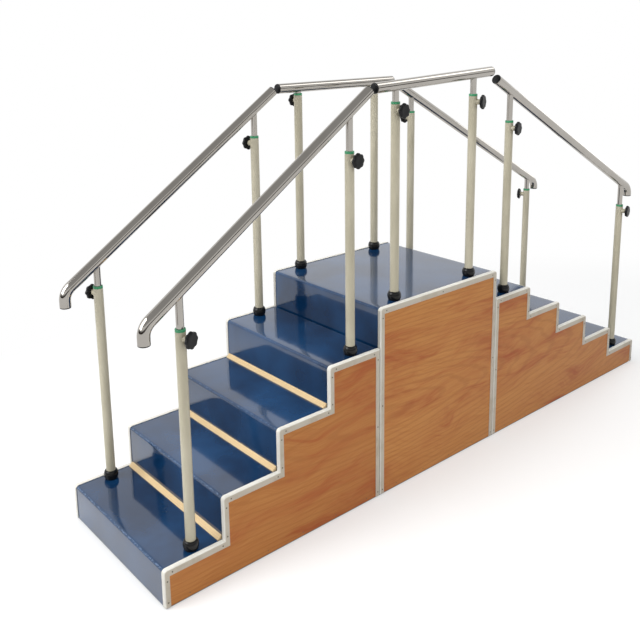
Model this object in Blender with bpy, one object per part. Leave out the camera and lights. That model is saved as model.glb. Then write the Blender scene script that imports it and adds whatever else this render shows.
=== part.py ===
"""Two-sided rehabilitation stairs with height-adjustable handrails.

Three box units stand side by side along X: a flight of four low steps on the left, a
platform, and a flight of five lower steps on the right. Each unit has a welded inner
frame on glides, a stepped cover board wrapped in blue vinyl, two wood-grain side panels
and two edge trims. Twelve posts stand on the treads. Each carries a star-knob clamp that
holds one leg of a handrail section, and each of the six handrail sections slides up and
down in its own two posts. Most posts stand a little turned about their own axis,
knob and all.

Metres, +Z up, +X from the four-step flight to the five-step flight, near side at -Y.
The origin is the centre of the footprint on the floor.
"""

import math

import bmesh
import bpy
from mathutils import Matrix, Vector

# Step layout. Heights are of the edge trim's top, lengths of its outer faces.
PLATFORM_HEIGHT = 0.755
LEFT_RISER = 0.1549
RIGHT_RISER = 0.1262
LEFT_FIRST_TREAD = 0.226
LEFT_TREAD = 0.230
LEFT_TOP_TREAD = 0.2476
PLATFORM_LENGTH = 0.688
RIGHT_TOP_TREAD = 0.2448
RIGHT_TREAD = 0.237
LEFT_TREAD_COUNT = 4
RIGHT_TREAD_COUNT = 5
OVERALL_WIDTH = 0.650
UNIT_SEAM = 0.003

# Boards, trim and glides.
TOUCH_GAP = 0.0003
COVER_THICKNESS = 0.015
PANEL_THICKNESS = 0.018
NOSING_RADIUS = 0.010
TRIM_THICKNESS = 0.0025
TRIM_SIDE_UNDER_TREAD = 0.024
TRIM_SIDE_BESIDE_RISER = 0.020
TRIM_LIP_WIDTH = 0.014
GLIDE_HEIGHT = 0.005
GLIDE_RADIUS = 0.0115
GLIDE_TAPER = 0.002
STRIP_ON_TREAD = 0.016
STRIP_ON_RISER = 0.014
STRIP_EDGE = 0.004
STRIP_END_GAP = 0.006
FRAME_TUBE = 0.025
FRAME_UPRIGHT_TUBE = 0.022
FRAME_TIE_TUBE = 0.020

# Posts, collars and guide rings.
POST_RADIUS = 0.017
POST_BORE_RADIUS = 0.0147
POST_FLOOR = 0.010
POST_HEIGHT = 0.748
POST_INSET_Y = 0.047
LEFT_LOW_POST_FROM_END = 0.127
RIGHT_LOW_POST_FROM_END = 0.142
HIGH_POST_FROM_PLATFORM = 0.110
PLATFORM_POST_LEFT_INSET = 0.117
PLATFORM_POST_RIGHT_INSET = 0.132
RING_HEIGHT = 0.009
RING_BORE_RADIUS = 0.0135
RING_CHAMFER = 0.0015
COLLAR_HEIGHT = 0.034
COLLAR_RADIUS = 0.0265
COLLAR_FOOT_RADIUS = 0.0215
COLLAR_TOP_WALL = 0.003

# Handrail sections.
HANDRAIL_RADIUS = 0.020
LEG_RADIUS = 0.0125
LEG_LENGTH = 0.500
LEFT_RAIL_SLOPE = 0.690
RIGHT_RAIL_SLOPE = 0.545
NEAR_PLATFORM_RAIL_SLOPE = 0.045
LEFT_RAIL_END_INSET = 0.004
RIGHT_RAIL_END_INSET = 0.076
BEND_RADIUS = 0.055
LEFT_END_DROP = 0.055
RIGHT_END_DROP = 0.042
PLATFORM_RAIL_INSET_LEFT = 0.008
PLATFORM_RAIL_INSET_RIGHT = 0.020
LEFT_RAIL_SHORT_OF_PLATFORM = 0.0105
RIGHT_RAIL_PAST_PLATFORM = 0.0100
PLUG_LENGTH = 0.0045
PLUG_INSET = 0.0005
PLUG_CHAMFER = 0.0020
RAIL_OVER_RING_GAP = 0.001

# Height of each handrail section at rest, above its lowest setting.
LEFT_NEAR_LIFT = 0.080
LEFT_FAR_LIFT = 0.049
PLATFORM_NEAR_LIFT = 0.036
PLATFORM_FAR_LIFT = 0.002
RIGHT_NEAR_LIFT = 0.080
RIGHT_FAR_LIFT = 0.036

# Star knobs.
KNOB_BELOW_TOP = 0.0315
KNOB_RADIUS = 0.0285
KNOB_LOBE_DEPTH = 0.0030
KNOB_LOBES = 8
KNOB_HEAD_LENGTH = 0.014
KNOB_EDGE = 0.0025
BOSS_LENGTH = 0.016
BOSS_RADIUS = 0.011
STUD_RADIUS = 0.004
STUD_HOLE_RADIUS = 0.0046

# How far a post is turned about its own axis, knob and all, seen from above.
POST_TURN_DEGREES = {
    ("left_low", "near"): 20.0,
    ("left_high", "near"): 5.0,
    ("platform_left", "near"): 4.0,
    ("platform_right", "near"): 20.0,
    ("right_high", "near"): 12.0,
    ("right_low", "near"): 12.0,
    ("left_low", "far"): 5.0,
    ("left_high", "far"): 2.0,
    ("platform_left", "far"): -20.0,
    ("platform_right", "far"): 0.0,
    ("right_high", "far"): 0.0,
    ("right_low", "far"): 23.0,
}

# Facets.
ROUND_SIDES = 16
LEG_SIDES = 12
BOSS_SIDES = 10
GLIDE_SIDES = 8
COLLAR_SIDES = 12
POINTS_PER_LOBE = 3
NOSING_STEPS = 3
BEND_STEPS = 4

# Sizes that follow from the ones above.
TRIM_STAND = TRIM_THICKNESS + TOUCH_GAP
FLOOR_TO_BOARDS = GLIDE_HEIGHT
TRIM_OUTER_Y = OVERALL_WIDTH / 2
BOARD_OUTER_Y = TRIM_OUTER_Y - TRIM_STAND
PANEL_INNER_Y = BOARD_OUTER_Y - PANEL_THICKNESS
FRAME_OUTER_Y = PANEL_INNER_Y - TOUCH_GAP
LIP_INNER_Y = TRIM_OUTER_Y - TRIM_THICKNESS - TRIM_LIP_WIDTH
POST_Y = OVERALL_WIDTH / 2 - POST_INSET_Y
SIDES = {"near": -1.0, "far": 1.0}


def left_tread_depths():
    """Tread depths of the left flight, from the floor step up to the platform."""
    middle = [LEFT_TREAD] * (LEFT_TREAD_COUNT - 2)
    return [LEFT_FIRST_TREAD] + middle + [LEFT_TOP_TREAD]


def right_tread_depths():
    """Tread depths of the right flight, from the platform down to the floor step."""
    return [RIGHT_TOP_TREAD] + [RIGHT_TREAD] * (RIGHT_TREAD_COUNT - 1)


LEFT_LENGTH = sum(left_tread_depths())
RIGHT_LENGTH = sum(right_tread_depths())
STEPS_LENGTH = LEFT_LENGTH + PLATFORM_LENGTH + RIGHT_LENGTH + 2 * UNIT_SEAM
RAIL_OVERHANG = max(0.0, HANDRAIL_RADIUS - LEFT_RAIL_END_INSET)
LEFT_END_X = (RAIL_OVERHANG - STEPS_LENGTH) / 2
PLATFORM_LEFT_X = LEFT_END_X + LEFT_LENGTH + UNIT_SEAM
PLATFORM_RIGHT_X = PLATFORM_LEFT_X + PLATFORM_LENGTH
RIGHT_START_X = PLATFORM_RIGHT_X + UNIT_SEAM
RIGHT_END_X = RIGHT_START_X + RIGHT_LENGTH


def clear_scene():
    """Removes every object that the session started with."""
    for item in list(bpy.data.objects):
        bpy.data.objects.remove(item, do_unlink=True)


def make_material(name, colour, roughness, metallic=0.0):
    """A plain Principled material."""
    material = bpy.data.materials.new(name)
    material.use_nodes = True
    shader = material.node_tree.nodes["Principled BSDF"]
    shader.inputs["Base Color"].default_value = (*colour, 1.0)
    shader.inputs["Roughness"].default_value = roughness
    shader.inputs["Metallic"].default_value = metallic
    return material


def new_object(name, mesh, material, location=(0.0, 0.0, 0.0)):
    """Puts a mesh into the scene as a named piece."""
    mesh.materials.clear()
    mesh.materials.append(material)
    item = bpy.data.objects.new(name, mesh)
    item.location = location
    bpy.context.scene.collection.objects.link(item)
    return item


def finish_mesh(name, bm, smooth_below=None):
    """Writes a bmesh to a mesh with outward faces, shaded smooth below an angle."""
    bmesh.ops.recalc_face_normals(bm, faces=bm.faces)
    mesh = bpy.data.meshes.new(name)
    bm.to_mesh(mesh)
    bm.free()
    if smooth_below is not None:
        mesh.shade_smooth()
        mesh.set_sharp_from_angle(angle=smooth_below)
    return mesh


def combine(item, other, operation):
    """Adds or cuts another object with an exact Boolean; the other one only guides."""
    other.hide_render = True
    other.display_type = "WIRE"
    modifier = item.modifiers.new(operation.title(), "BOOLEAN")
    modifier.operation = operation
    modifier.solver = "EXACT"
    modifier.object = other


def baked_mesh(item, name, smooth_below):
    """The mesh of an object after its modifiers, with its guides removed again."""
    guides = [modifier.object for modifier in item.modifiers]
    graph = bpy.context.evaluated_depsgraph_get()
    mesh = bpy.data.meshes.new_from_object(item.evaluated_get(graph))
    mesh.name = name
    mesh.shade_smooth()
    mesh.set_sharp_from_angle(angle=smooth_below)
    bpy.data.objects.remove(item, do_unlink=True)
    for guide in guides:
        bpy.data.objects.remove(guide, do_unlink=True)
    return mesh


def offset_path(path, drop, side):
    """Moves a stepped path into the solid: treads down by drop, risers in by side.

    The path runs in X and Z from left to right with the solid below it. A riser that
    climbs has its solid at +X and one that falls at -X.
    """
    moved = []
    for index, (x, z) in enumerate(path):
        before = path[index - 1] if index > 0 else None
        after = path[index + 1] if index + 1 < len(path) else None
        new_x = x
        new_z = z
        for first, second in ((before, (x, z)), ((x, z), after)):
            if first is None or second is None:
                continue
            rise = second[1] - first[1]
            if abs(rise) > 1e-9:
                new_x = x + side * math.copysign(1.0, rise)
            else:
                new_z = z - drop
        moved.append((new_x, new_z))
    return moved


def round_nosings(path, radius, keep_sharp=()):
    """Replaces each nosing of a stepped path by an arc; inner corners stay square."""
    rounded = [path[0]]
    for index in range(1, len(path) - 1):
        corner = Vector(path[index])
        into = (corner - Vector(path[index - 1])).normalized()
        out = (Vector(path[index + 1]) - corner).normalized()
        if into.cross(out) >= 0 or index in keep_sharp:
            rounded.append(path[index])
            continue
        centre = corner - into * radius + out * radius
        for step in range(NOSING_STEPS + 1):
            turn = math.pi / 2 * step / NOSING_STEPS
            point = centre - out * radius * math.cos(turn) + into * radius * math.sin(turn)
            rounded.append((point.x, point.y))
    rounded.append(path[-1])
    return rounded


def extrude_outline(name, outline, y_low, y_high):
    """A board: an outline in X and Z, extruded along Y."""
    bm = bmesh.new()
    corners = [bm.verts.new((x, y_low, z)) for x, z in outline]
    face = bm.faces.new(corners)
    grown = bmesh.ops.extrude_face_region(bm, geom=[face])
    moved = [part for part in grown["geom"] if isinstance(part, bmesh.types.BMVert)]
    bmesh.ops.translate(bm, verts=moved, vec=(0.0, y_high - y_low, 0.0))
    return finish_mesh(name, bm)


def stepped_path_left():
    """Outer line of the left flight's edge trim, floor to platform side, in X and Z."""
    x = LEFT_END_X
    z = PLATFORM_HEIGHT - LEFT_TREAD_COUNT * LEFT_RISER
    path = [(x, FLOOR_TO_BOARDS), (x, z)]
    for index, depth in enumerate(left_tread_depths()):
        x += depth
        path.append((x, z))
        if index + 1 < LEFT_TREAD_COUNT:
            z += LEFT_RISER
            path.append((x, z))
    path.append((x, FLOOR_TO_BOARDS))
    return path


def stepped_path_right():
    """Outer line of the right flight's edge trim, platform side to floor."""
    x = RIGHT_START_X
    z = PLATFORM_HEIGHT - RIGHT_RISER
    path = [(x, FLOOR_TO_BOARDS), (x, z)]
    for index, depth in enumerate(right_tread_depths()):
        x += depth
        path.append((x, z))
        if index + 1 < RIGHT_TREAD_COUNT:
            z -= RIGHT_RISER
            path.append((x, z))
    path.append((x, FLOOR_TO_BOARDS))
    return path


def platform_path():
    """Outer line of the platform's edge trim."""
    return [
        (PLATFORM_LEFT_X, FLOOR_TO_BOARDS),
        (PLATFORM_LEFT_X, PLATFORM_HEIGHT),
        (PLATFORM_RIGHT_X, PLATFORM_HEIGHT),
        (PLATFORM_RIGHT_X, FLOOR_TO_BOARDS),
    ]


def cover_outline(path, open_left, open_right, sharp):
    """Section of a stepped cover: its vinyl surface and, a board lower, its underside.

    A flight's side against the platform stays open, so its vertical stretch is cut off
    there and the top board simply ends.
    """
    surface = offset_path(path, TRIM_STAND, TRIM_STAND)
    under = offset_path(surface, COVER_THICKNESS, COVER_THICKNESS)
    keep = list(sharp)
    if open_left:
        surface = surface[1:]
        under = [(surface[0][0], under[1][1])] + under[2:]
        keep = [index - 1 for index in keep]
    if open_right:
        surface = surface[:-1]
        under = under[:-2] + [(surface[-1][0], under[-2][1])]
    return round_nosings(surface, NOSING_RADIUS, keep) + list(reversed(under))


def panel_outline(path, open_left, open_right):
    """Side panel section: the stepped path less the trim, the cover board and a gap.

    On a flight's side against the platform there is no cover board, so the panel
    reaches the trim.
    """
    inset = TRIM_STAND + COVER_THICKNESS + TOUCH_GAP
    outline = offset_path(path, inset, inset)
    if open_left:
        edge = path[0][0] + TRIM_STAND
        outline[:2] = [(edge, outline[0][1]), (edge, outline[1][1])]
    if open_right:
        edge = path[-1][0] - TRIM_STAND
        outline[-2:] = [(edge, outline[-2][1]), (edge, outline[-1][1])]
    return outline


def trim_mesh(name, path, sharp):
    """Edge trim: an L section led along the stepped edge of one side.

    Its side flange lies on the panel's outer face and reaches down from the tread line
    and in from the riser line. Its lip lies over the vinyl's edge and turns round each
    nosing. Built on the near side and in one piece, with mitred inner corners.
    """
    outer = round_nosings(path, NOSING_RADIUS + TRIM_STAND, sharp)
    inner_line = offset_path(path, TRIM_THICKNESS, TRIM_THICKNESS)
    inner = round_nosings(inner_line, NOSING_RADIUS + TOUCH_GAP, sharp)
    flange = offset_path(path, TRIM_SIDE_UNDER_TREAD, TRIM_SIDE_BESIDE_RISER)
    y_outer = -TRIM_OUTER_Y
    y_plate = y_outer + TRIM_THICKNESS
    y_lip = -LIP_INNER_Y
    bm = bmesh.new()

    def row(points, y):
        return [bm.verts.new((x, y, z)) for x, z in points]

    outer_face = row(outer, y_outer)
    outer_lip = row(outer, y_lip)
    inner_plate = row(inner, y_plate)
    inner_lip = row(inner, y_lip)
    flange_face = row(flange, y_outer)
    flange_back = row(flange, y_plate)

    def wall(first, second):
        for index in range(len(first) - 1):
            bm.faces.new((first[index], first[index + 1], second[index + 1], second[index]))

    wall(outer_face, outer_lip)
    wall(inner_plate, inner_lip)
    wall(flange_face, flange_back)
    wall(outer_lip, inner_lip)
    bm.faces.new(outer_face + list(reversed(flange_face)))
    bm.faces.new(inner_plate + list(reversed(flange_back)))
    for end in (0, -1):
        bm.faces.new((
            outer_face[end],
            outer_lip[end],
            inner_lip[end],
            inner_plate[end],
            flange_back[end],
            flange_face[end],
        ))
    return finish_mesh(name, bm, smooth_below=math.radians(40))


def mirrored_mesh(mesh, name):
    """The same mesh reflected to the other side of the stairs, faces still outward."""
    bm = bmesh.new()
    bm.from_mesh(mesh)
    bmesh.ops.transform(bm, matrix=Matrix.Diagonal((1.0, -1.0, 1.0, 1.0)), verts=bm.verts)
    bmesh.ops.reverse_faces(bm, faces=bm.faces)
    copy = bpy.data.meshes.new(name)
    bm.to_mesh(copy)
    bm.free()
    return copy


def strip_outline(x, z):
    """Section of a grooved strip in the corner of a tread and the next riser."""
    sunk = STRIP_EDGE / 4
    return [
        (x + sunk, z - sunk),
        (x - STRIP_ON_TREAD, z - sunk),
        (x - STRIP_ON_TREAD, z + STRIP_EDGE),
        (x - STRIP_EDGE, z + STRIP_ON_RISER),
        (x + sunk, z + STRIP_ON_RISER),
    ]


def add_strips(cover, surface, material):
    """Fuses the three beige corner strips onto the left cover."""
    reach = LIP_INNER_Y - STRIP_END_GAP
    corners = surface[2 : 2 * LEFT_TREAD_COUNT : 2]
    for number, (x, z) in enumerate(corners, 1):
        mesh = extrude_outline(f"strip_{number}_form", strip_outline(x, z), -reach, reach)
        combine(cover, new_object(f"strip_{number}_guide", mesh, material), "UNION")


def box_into(bm, low, high):
    """Adds one straight tube or block, from its low corner to its high corner."""
    low = Vector(low)
    high = Vector(high)
    size = high - low
    matrix = Matrix.Translation((low + high) / 2) @ Matrix.Diagonal((*size, 1.0))
    bmesh.ops.create_cube(bm, size=1.0, matrix=matrix)


def box_guide(name, low, high, material):
    """A block as a guide object for a Boolean."""
    bm = bmesh.new()
    box_into(bm, low, high)
    return new_object(name, finish_mesh(name, bm), material)


def frame_object(name, x_low, x_high, portals, material):
    """Welded square-tube frame: two floor rails tied together, portals and glides.

    portals lists (low X, top Z) of each portal: two uprights and a cross bar that
    carries a board's edge. Uprights and ties are slimmer than the rails and bars that
    they are welded to, and end inside them.
    """
    z_low = FLOOR_TO_BOARDS
    z_high = z_low + FRAME_TUBE
    y_in = FRAME_OUTER_Y - FRAME_TUBE
    half = FRAME_TUBE / 2
    upright = FRAME_UPRIGHT_TUBE / 2
    tie = FRAME_TIE_TUBE / 2
    z_mid = z_low + half
    y_mid = FRAME_OUTER_Y - half
    bars = [((x_low, y_in, z_low), (x_high, FRAME_OUTER_Y, z_high))]
    for x in (x_low + half, x_high - half):
        bars.append(((x - tie, -y_mid, z_mid - tie), (x + tie, y_mid, z_mid + tie)))
    for x, top in portals:
        x_mid = x + half
        for y in (-y_mid, y_mid):
            bars.append((
                (x_mid - upright, y - upright, z_mid),
                (x_mid + upright, y + upright, top - half),
            ))
        bars.append((
            (x, -FRAME_OUTER_Y, top - FRAME_TUBE),
            (x + FRAME_TUBE, FRAME_OUTER_Y, top),
        ))
    low = (x_low, -FRAME_OUTER_Y, z_low)
    high = (x_high, -y_in, z_high)
    frame = box_guide(name, low, high, material)
    for number, (low, high) in enumerate(bars):
        combine(frame, box_guide(f"{name}_bar_{number}", low, high, material), "UNION")
    glide_number = 0
    for x in (x_low + half, x_high - half):
        for y in (-y_mid, y_mid):
            bm = bmesh.new()
            bmesh.ops.create_cone(
                bm,
                cap_ends=True,
                segments=GLIDE_SIDES,
                radius1=GLIDE_RADIUS,
                radius2=GLIDE_RADIUS - GLIDE_TAPER,
                depth=z_mid,
                matrix=Matrix.Translation((x, y, z_mid / 2)),
            )
            guide_name = f"{name}_glide_{glide_number}"
            combine(frame, new_object(guide_name, finish_mesh(guide_name, bm), material), "UNION")
            glide_number += 1
    return frame


def revolve(name, profile, sides, smooth_below):
    """Turns a closed profile of (radius, height) points about Z."""
    bm = bmesh.new()
    first_angle = math.pi / sides
    start = Vector((math.sin(first_angle), -math.cos(first_angle), 0.0))
    corners = []
    for radius, height in profile:
        corners.append(bm.verts.new((start.x * radius, start.y * radius, height)))
    edges = []
    for first, second in zip(corners, corners[1:] + corners[:1]):
        if abs(first.co.x) + abs(second.co.x) > 1e-9:
            edges.append(bm.edges.new((first, second)))
    bmesh.ops.spin(
        bm,
        geom=corners + edges,
        cent=(0.0, 0.0, 0.0),
        axis=(0.0, 0.0, 1.0),
        angle=2 * math.pi,
        steps=sides,
        use_merge=True,
        use_duplicate=False,
    )
    bmesh.ops.remove_doubles(bm, verts=bm.verts, dist=1e-6)
    return finish_mesh(name, bm, smooth_below)


def bar_towards_front(name, radius, sides, y_low, y_high, material):
    """A round bar along Y at the height of the clamp, as a guide for a Boolean."""
    bm = bmesh.new()
    place = Matrix.Translation((0.0, (y_low + y_high) / 2, POST_HEIGHT - KNOB_BELOW_TOP))
    bmesh.ops.create_cone(
        bm,
        cap_ends=True,
        segments=sides,
        radius1=radius,
        radius2=radius,
        depth=y_high - y_low,
        matrix=place @ Matrix.Rotation(math.pi / 2, 4, "X"),
    )
    return new_object(name, finish_mesh(name, bm), material)


def post_mesh(name, material):
    """Post tube with its guide ring on top and the clamp's drilled boss on its -Y side.

    The outside is turned first, the boss is welded on, and the bore and the stud hole
    are cut last, so that the boss can't reach into the bore.
    """
    ring_low = POST_HEIGHT - RING_HEIGHT
    outside = [
        (0.0, 0.0),
        (POST_RADIUS, 0.0),
        (POST_RADIUS, POST_HEIGHT - RING_CHAMFER),
        (POST_RADIUS - RING_CHAMFER, POST_HEIGHT),
        (0.0, POST_HEIGHT),
    ]
    bore = [
        (0.0, POST_FLOOR),
        (POST_BORE_RADIUS, POST_FLOOR),
        (POST_BORE_RADIUS, ring_low),
        (RING_BORE_RADIUS, ring_low),
        (RING_BORE_RADIUS, POST_HEIGHT + RING_HEIGHT),
        (0.0, POST_HEIGHT + RING_HEIGHT),
    ]
    mesh = revolve(name + "_turned", outside, ROUND_SIDES, math.radians(40))
    post = new_object(name + "_turned", mesh, material)
    boss_face = POST_RADIUS + BOSS_LENGTH
    boss = bar_towards_front(
        name + "_boss", BOSS_RADIUS, BOSS_SIDES, -boss_face, -POST_RADIUS / 3, material
    )
    combine(post, boss, "UNION")
    cutter_mesh = revolve(name + "_bore", bore, ROUND_SIDES, math.radians(40))
    combine(post, new_object(name + "_bore", cutter_mesh, material), "DIFFERENCE")
    drill = bar_towards_front(
        name + "_drill", STUD_HOLE_RADIUS, BOSS_SIDES, -boss_face - POST_RADIUS, -POST_RADIUS / 2, material
    )
    combine(post, drill, "DIFFERENCE")
    return baked_mesh(post, name, math.radians(40))


def collar_mesh():
    """Bulbous rubber collar round a post's foot, narrower at its foot and its lip."""
    inner = (POST_RADIUS + TOUCH_GAP) / math.cos(math.pi / COLLAR_SIDES)
    shoulder = COLLAR_RADIUS - 0.25 * (COLLAR_RADIUS - COLLAR_FOOT_RADIUS)
    profile = [
        (inner, 0.0),
        (COLLAR_FOOT_RADIUS, 0.0),
        (shoulder, 0.22 * COLLAR_HEIGHT),
        (COLLAR_RADIUS, 0.45 * COLLAR_HEIGHT),
        (shoulder, 0.70 * COLLAR_HEIGHT),
        (inner + COLLAR_TOP_WALL, COLLAR_HEIGHT),
        (inner, COLLAR_HEIGHT),
    ]
    return revolve("collar", profile, COLLAR_SIDES, math.radians(60))


def knob_mesh():
    """Star knob turned about +Z: stud through the boss and the post's wall, lobed head.

    The origin is on the knob's axis at the post's own axis, so every length along it
    is measured from the middle of the post.
    """
    around = KNOB_LOBES * POINTS_PER_LOBE
    stud_tip = LEG_RADIUS + TOUCH_GAP
    head_low = POST_RADIUS + BOSS_LENGTH + TOUCH_GAP
    head_high = head_low + KNOB_HEAD_LENGTH
    stations = [
        (stud_tip, STUD_RADIUS, False),
        (head_low, STUD_RADIUS, False),
        (head_low, KNOB_RADIUS - 2 * KNOB_EDGE, True),
        (head_low + KNOB_EDGE, KNOB_RADIUS, True),
        (head_high - KNOB_EDGE, KNOB_RADIUS, True),
        (head_high, KNOB_RADIUS - 2 * KNOB_EDGE, True),
    ]
    bm = bmesh.new()
    rows = []
    for height, radius, lobed in stations:
        ring = []
        for index in range(around):
            turn = 2 * math.pi * index / around
            reach = radius
            if lobed:
                reach -= KNOB_LOBE_DEPTH * (1 - math.cos(KNOB_LOBES * turn)) / 2
            ring.append(bm.verts.new((reach * math.cos(turn), reach * math.sin(turn), height)))
        rows.append(ring)
    for lower, upper in zip(rows, rows[1:]):
        for index in range(around):
            after = (index + 1) % around
            bm.faces.new((lower[index], lower[after], upper[after], upper[index]))
    bm.faces.new(list(reversed(rows[0])))
    bm.faces.new(rows[-1])
    return finish_mesh("star_knob", bm, math.radians(35))


def bend_points(corner, before, after, radius):
    """Points of an arc that rounds the corner between two straight runs, in X and Z."""
    into = (corner - before).normalized()
    out = (after - corner).normalized()
    turn = into.angle(out)
    tangent = radius * math.tan(turn / 2)
    start = corner - into * tangent
    towards = (out - into * into.dot(out)).normalized()
    centre = start + towards * radius
    points = []
    for step in range(BEND_STEPS + 1):
        angle = turn * step / BEND_STEPS
        points.append(centre - towards * radius * math.cos(angle) + into * radius * math.sin(angle))
    return points


def plugged_ends(path):
    """Stations (point, radius) along a handrail, with a rounded plug in each end."""
    first = (path[0] - path[1]).normalized()
    last = (path[-1] - path[-2]).normalized()
    stations = []
    for point, direction, order in ((path[0], first, -1), (path[-1], last, 1)):
        end = [
            (point - direction * PLUG_LENGTH, HANDRAIL_RADIUS),
            (point - direction * PLUG_LENGTH, HANDRAIL_RADIUS - PLUG_INSET),
            (point - direction * PLUG_CHAMFER, HANDRAIL_RADIUS - PLUG_INSET),
            (point, HANDRAIL_RADIUS - PLUG_INSET - PLUG_CHAMFER),
        ]
        if order < 0:
            end.reverse()
            stations += end
            stations += [(middle, HANDRAIL_RADIUS) for middle in path[1:-1]]
        else:
            stations += end
    return stations


def handrail_mesh(name, path):
    """Round tube along a path in the XZ plane, with its plugged ends."""
    stations = plugged_ends(path)
    bm = bmesh.new()
    rows = []
    count = len(stations)
    for index, (point, radius) in enumerate(stations):
        low = index
        while low > 0 and (stations[low][0] - point).length < 1e-7:
            low -= 1
        high = index
        while high < count - 1 and (stations[high][0] - point).length < 1e-7:
            high += 1
        along = stations[high][0] - stations[low][0]
        along.normalize()
        across = Vector((-along.y, along.x))
        ring = []
        for side in range(ROUND_SIDES):
            turn = 2 * math.pi * side / ROUND_SIDES
            offset = across * radius * math.cos(turn)
            ring.append(bm.verts.new((
                point.x + offset.x,
                radius * math.sin(turn),
                point.y + offset.y,
            )))
        rows.append(ring)
    for lower, upper in zip(rows, rows[1:]):
        for side in range(ROUND_SIDES):
            after = (side + 1) % ROUND_SIDES
            bm.faces.new((lower[side], lower[after], upper[after], upper[side]))
    bm.faces.new(rows[0])
    bm.faces.new(rows[-1])
    return finish_mesh(name, bm, math.radians(40))


def rail_object(name, path, leg_xs, axis_height, y, material):
    """One handrail section with its two welded legs, its origin on the first leg."""
    origin = Vector((leg_xs[0], axis_height(leg_xs[0])))
    local = [point - origin for point in path]
    rail = new_object(name, handrail_mesh(name, local), material, (origin.x, y, origin.y))
    for number, x in enumerate(leg_xs, 1):
        bm = bmesh.new()
        top = axis_height(x) - origin.y
        bmesh.ops.create_cone(
            bm,
            cap_ends=True,
            segments=LEG_SIDES,
            radius1=LEG_RADIUS,
            radius2=LEG_RADIUS,
            depth=LEG_LENGTH,
            matrix=Matrix.Translation((x - origin.x, 0.0, top - LEG_LENGTH / 2))
            @ Matrix.Rotation(math.pi / LEG_SIDES, 4, "Z"),
        )
        guide_name = f"{name}_leg_{number}"
        guide = new_object(guide_name, finish_mesh(guide_name, bm), material)
        guide.location = rail.location
        combine(rail, guide, "UNION")
    return rail


def lowest_axis_height(posts, slope):
    """Lowest height of a handrail's axis at its first post, just clear of both rings."""
    angle = math.atan(abs(slope))
    clear = HANDRAIL_RADIUS / math.cos(angle) + POST_RADIUS * math.tan(angle)
    first_x = posts[0][0]
    levels = []
    for x, top in posts:
        levels.append(top + clear + RAIL_OVER_RING_GAP - slope * (x - first_x))
    return max(levels)


def tread_surface(path, index):
    """Height of the vinyl on the tread that starts at a point of a stepped path."""
    return path[index][1] - TRIM_STAND


def post_stations(left_path, right_path):
    """Name, X and foot height of the posts of one side, from left to right."""
    left_low = tread_surface(left_path, 1)
    left_high = tread_surface(left_path, 2 * LEFT_TREAD_COUNT - 1)
    platform = PLATFORM_HEIGHT - TRIM_STAND
    right_high = tread_surface(right_path, 1)
    right_low = tread_surface(right_path, 2 * RIGHT_TREAD_COUNT - 1)
    return [
        ("left_low", LEFT_END_X + LEFT_LOW_POST_FROM_END, left_low),
        ("left_high", PLATFORM_LEFT_X - HIGH_POST_FROM_PLATFORM, left_high),
        ("platform_left", PLATFORM_LEFT_X + PLATFORM_POST_LEFT_INSET, platform),
        ("platform_right", PLATFORM_RIGHT_X - PLATFORM_POST_RIGHT_INSET, platform),
        ("right_high", PLATFORM_RIGHT_X + HIGH_POST_FROM_PLATFORM, right_high),
        ("right_low", RIGHT_END_X - RIGHT_LOW_POST_FROM_END, right_low),
    ]


def rail_paths(posts):
    """For each handrail section: leg stations, slope and a maker of its path."""

    def left_path(height):
        end_x = LEFT_END_X + LEFT_RAIL_END_INSET
        top_x = PLATFORM_LEFT_X - LEFT_RAIL_SHORT_OF_PLATFORM
        corner = Vector((end_x, height(end_x)))
        foot = corner - Vector((0.0, LEFT_END_DROP))
        top = Vector((top_x, height(top_x)))
        return [foot] + bend_points(corner, foot, top, BEND_RADIUS) + [top]

    def platform_path_line(height):
        low_x = PLATFORM_LEFT_X + PLATFORM_RAIL_INSET_LEFT
        high_x = PLATFORM_RIGHT_X - PLATFORM_RAIL_INSET_RIGHT
        return [Vector((x, height(x))) for x in (low_x, high_x)]

    def right_path(height):
        top_x = PLATFORM_RIGHT_X + RIGHT_RAIL_PAST_PLATFORM
        end_x = RIGHT_END_X - RIGHT_RAIL_END_INSET
        corner = Vector((end_x, height(end_x)))
        foot = corner - Vector((0.0, RIGHT_END_DROP))
        top = Vector((top_x, height(top_x)))
        return [top] + bend_points(corner, top, foot, BEND_RADIUS) + [foot]

    return {
        "left": (posts[0:2], left_path),
        "platform": (posts[2:4], platform_path_line),
        "right": (posts[4:6], right_path),
    }


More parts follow.
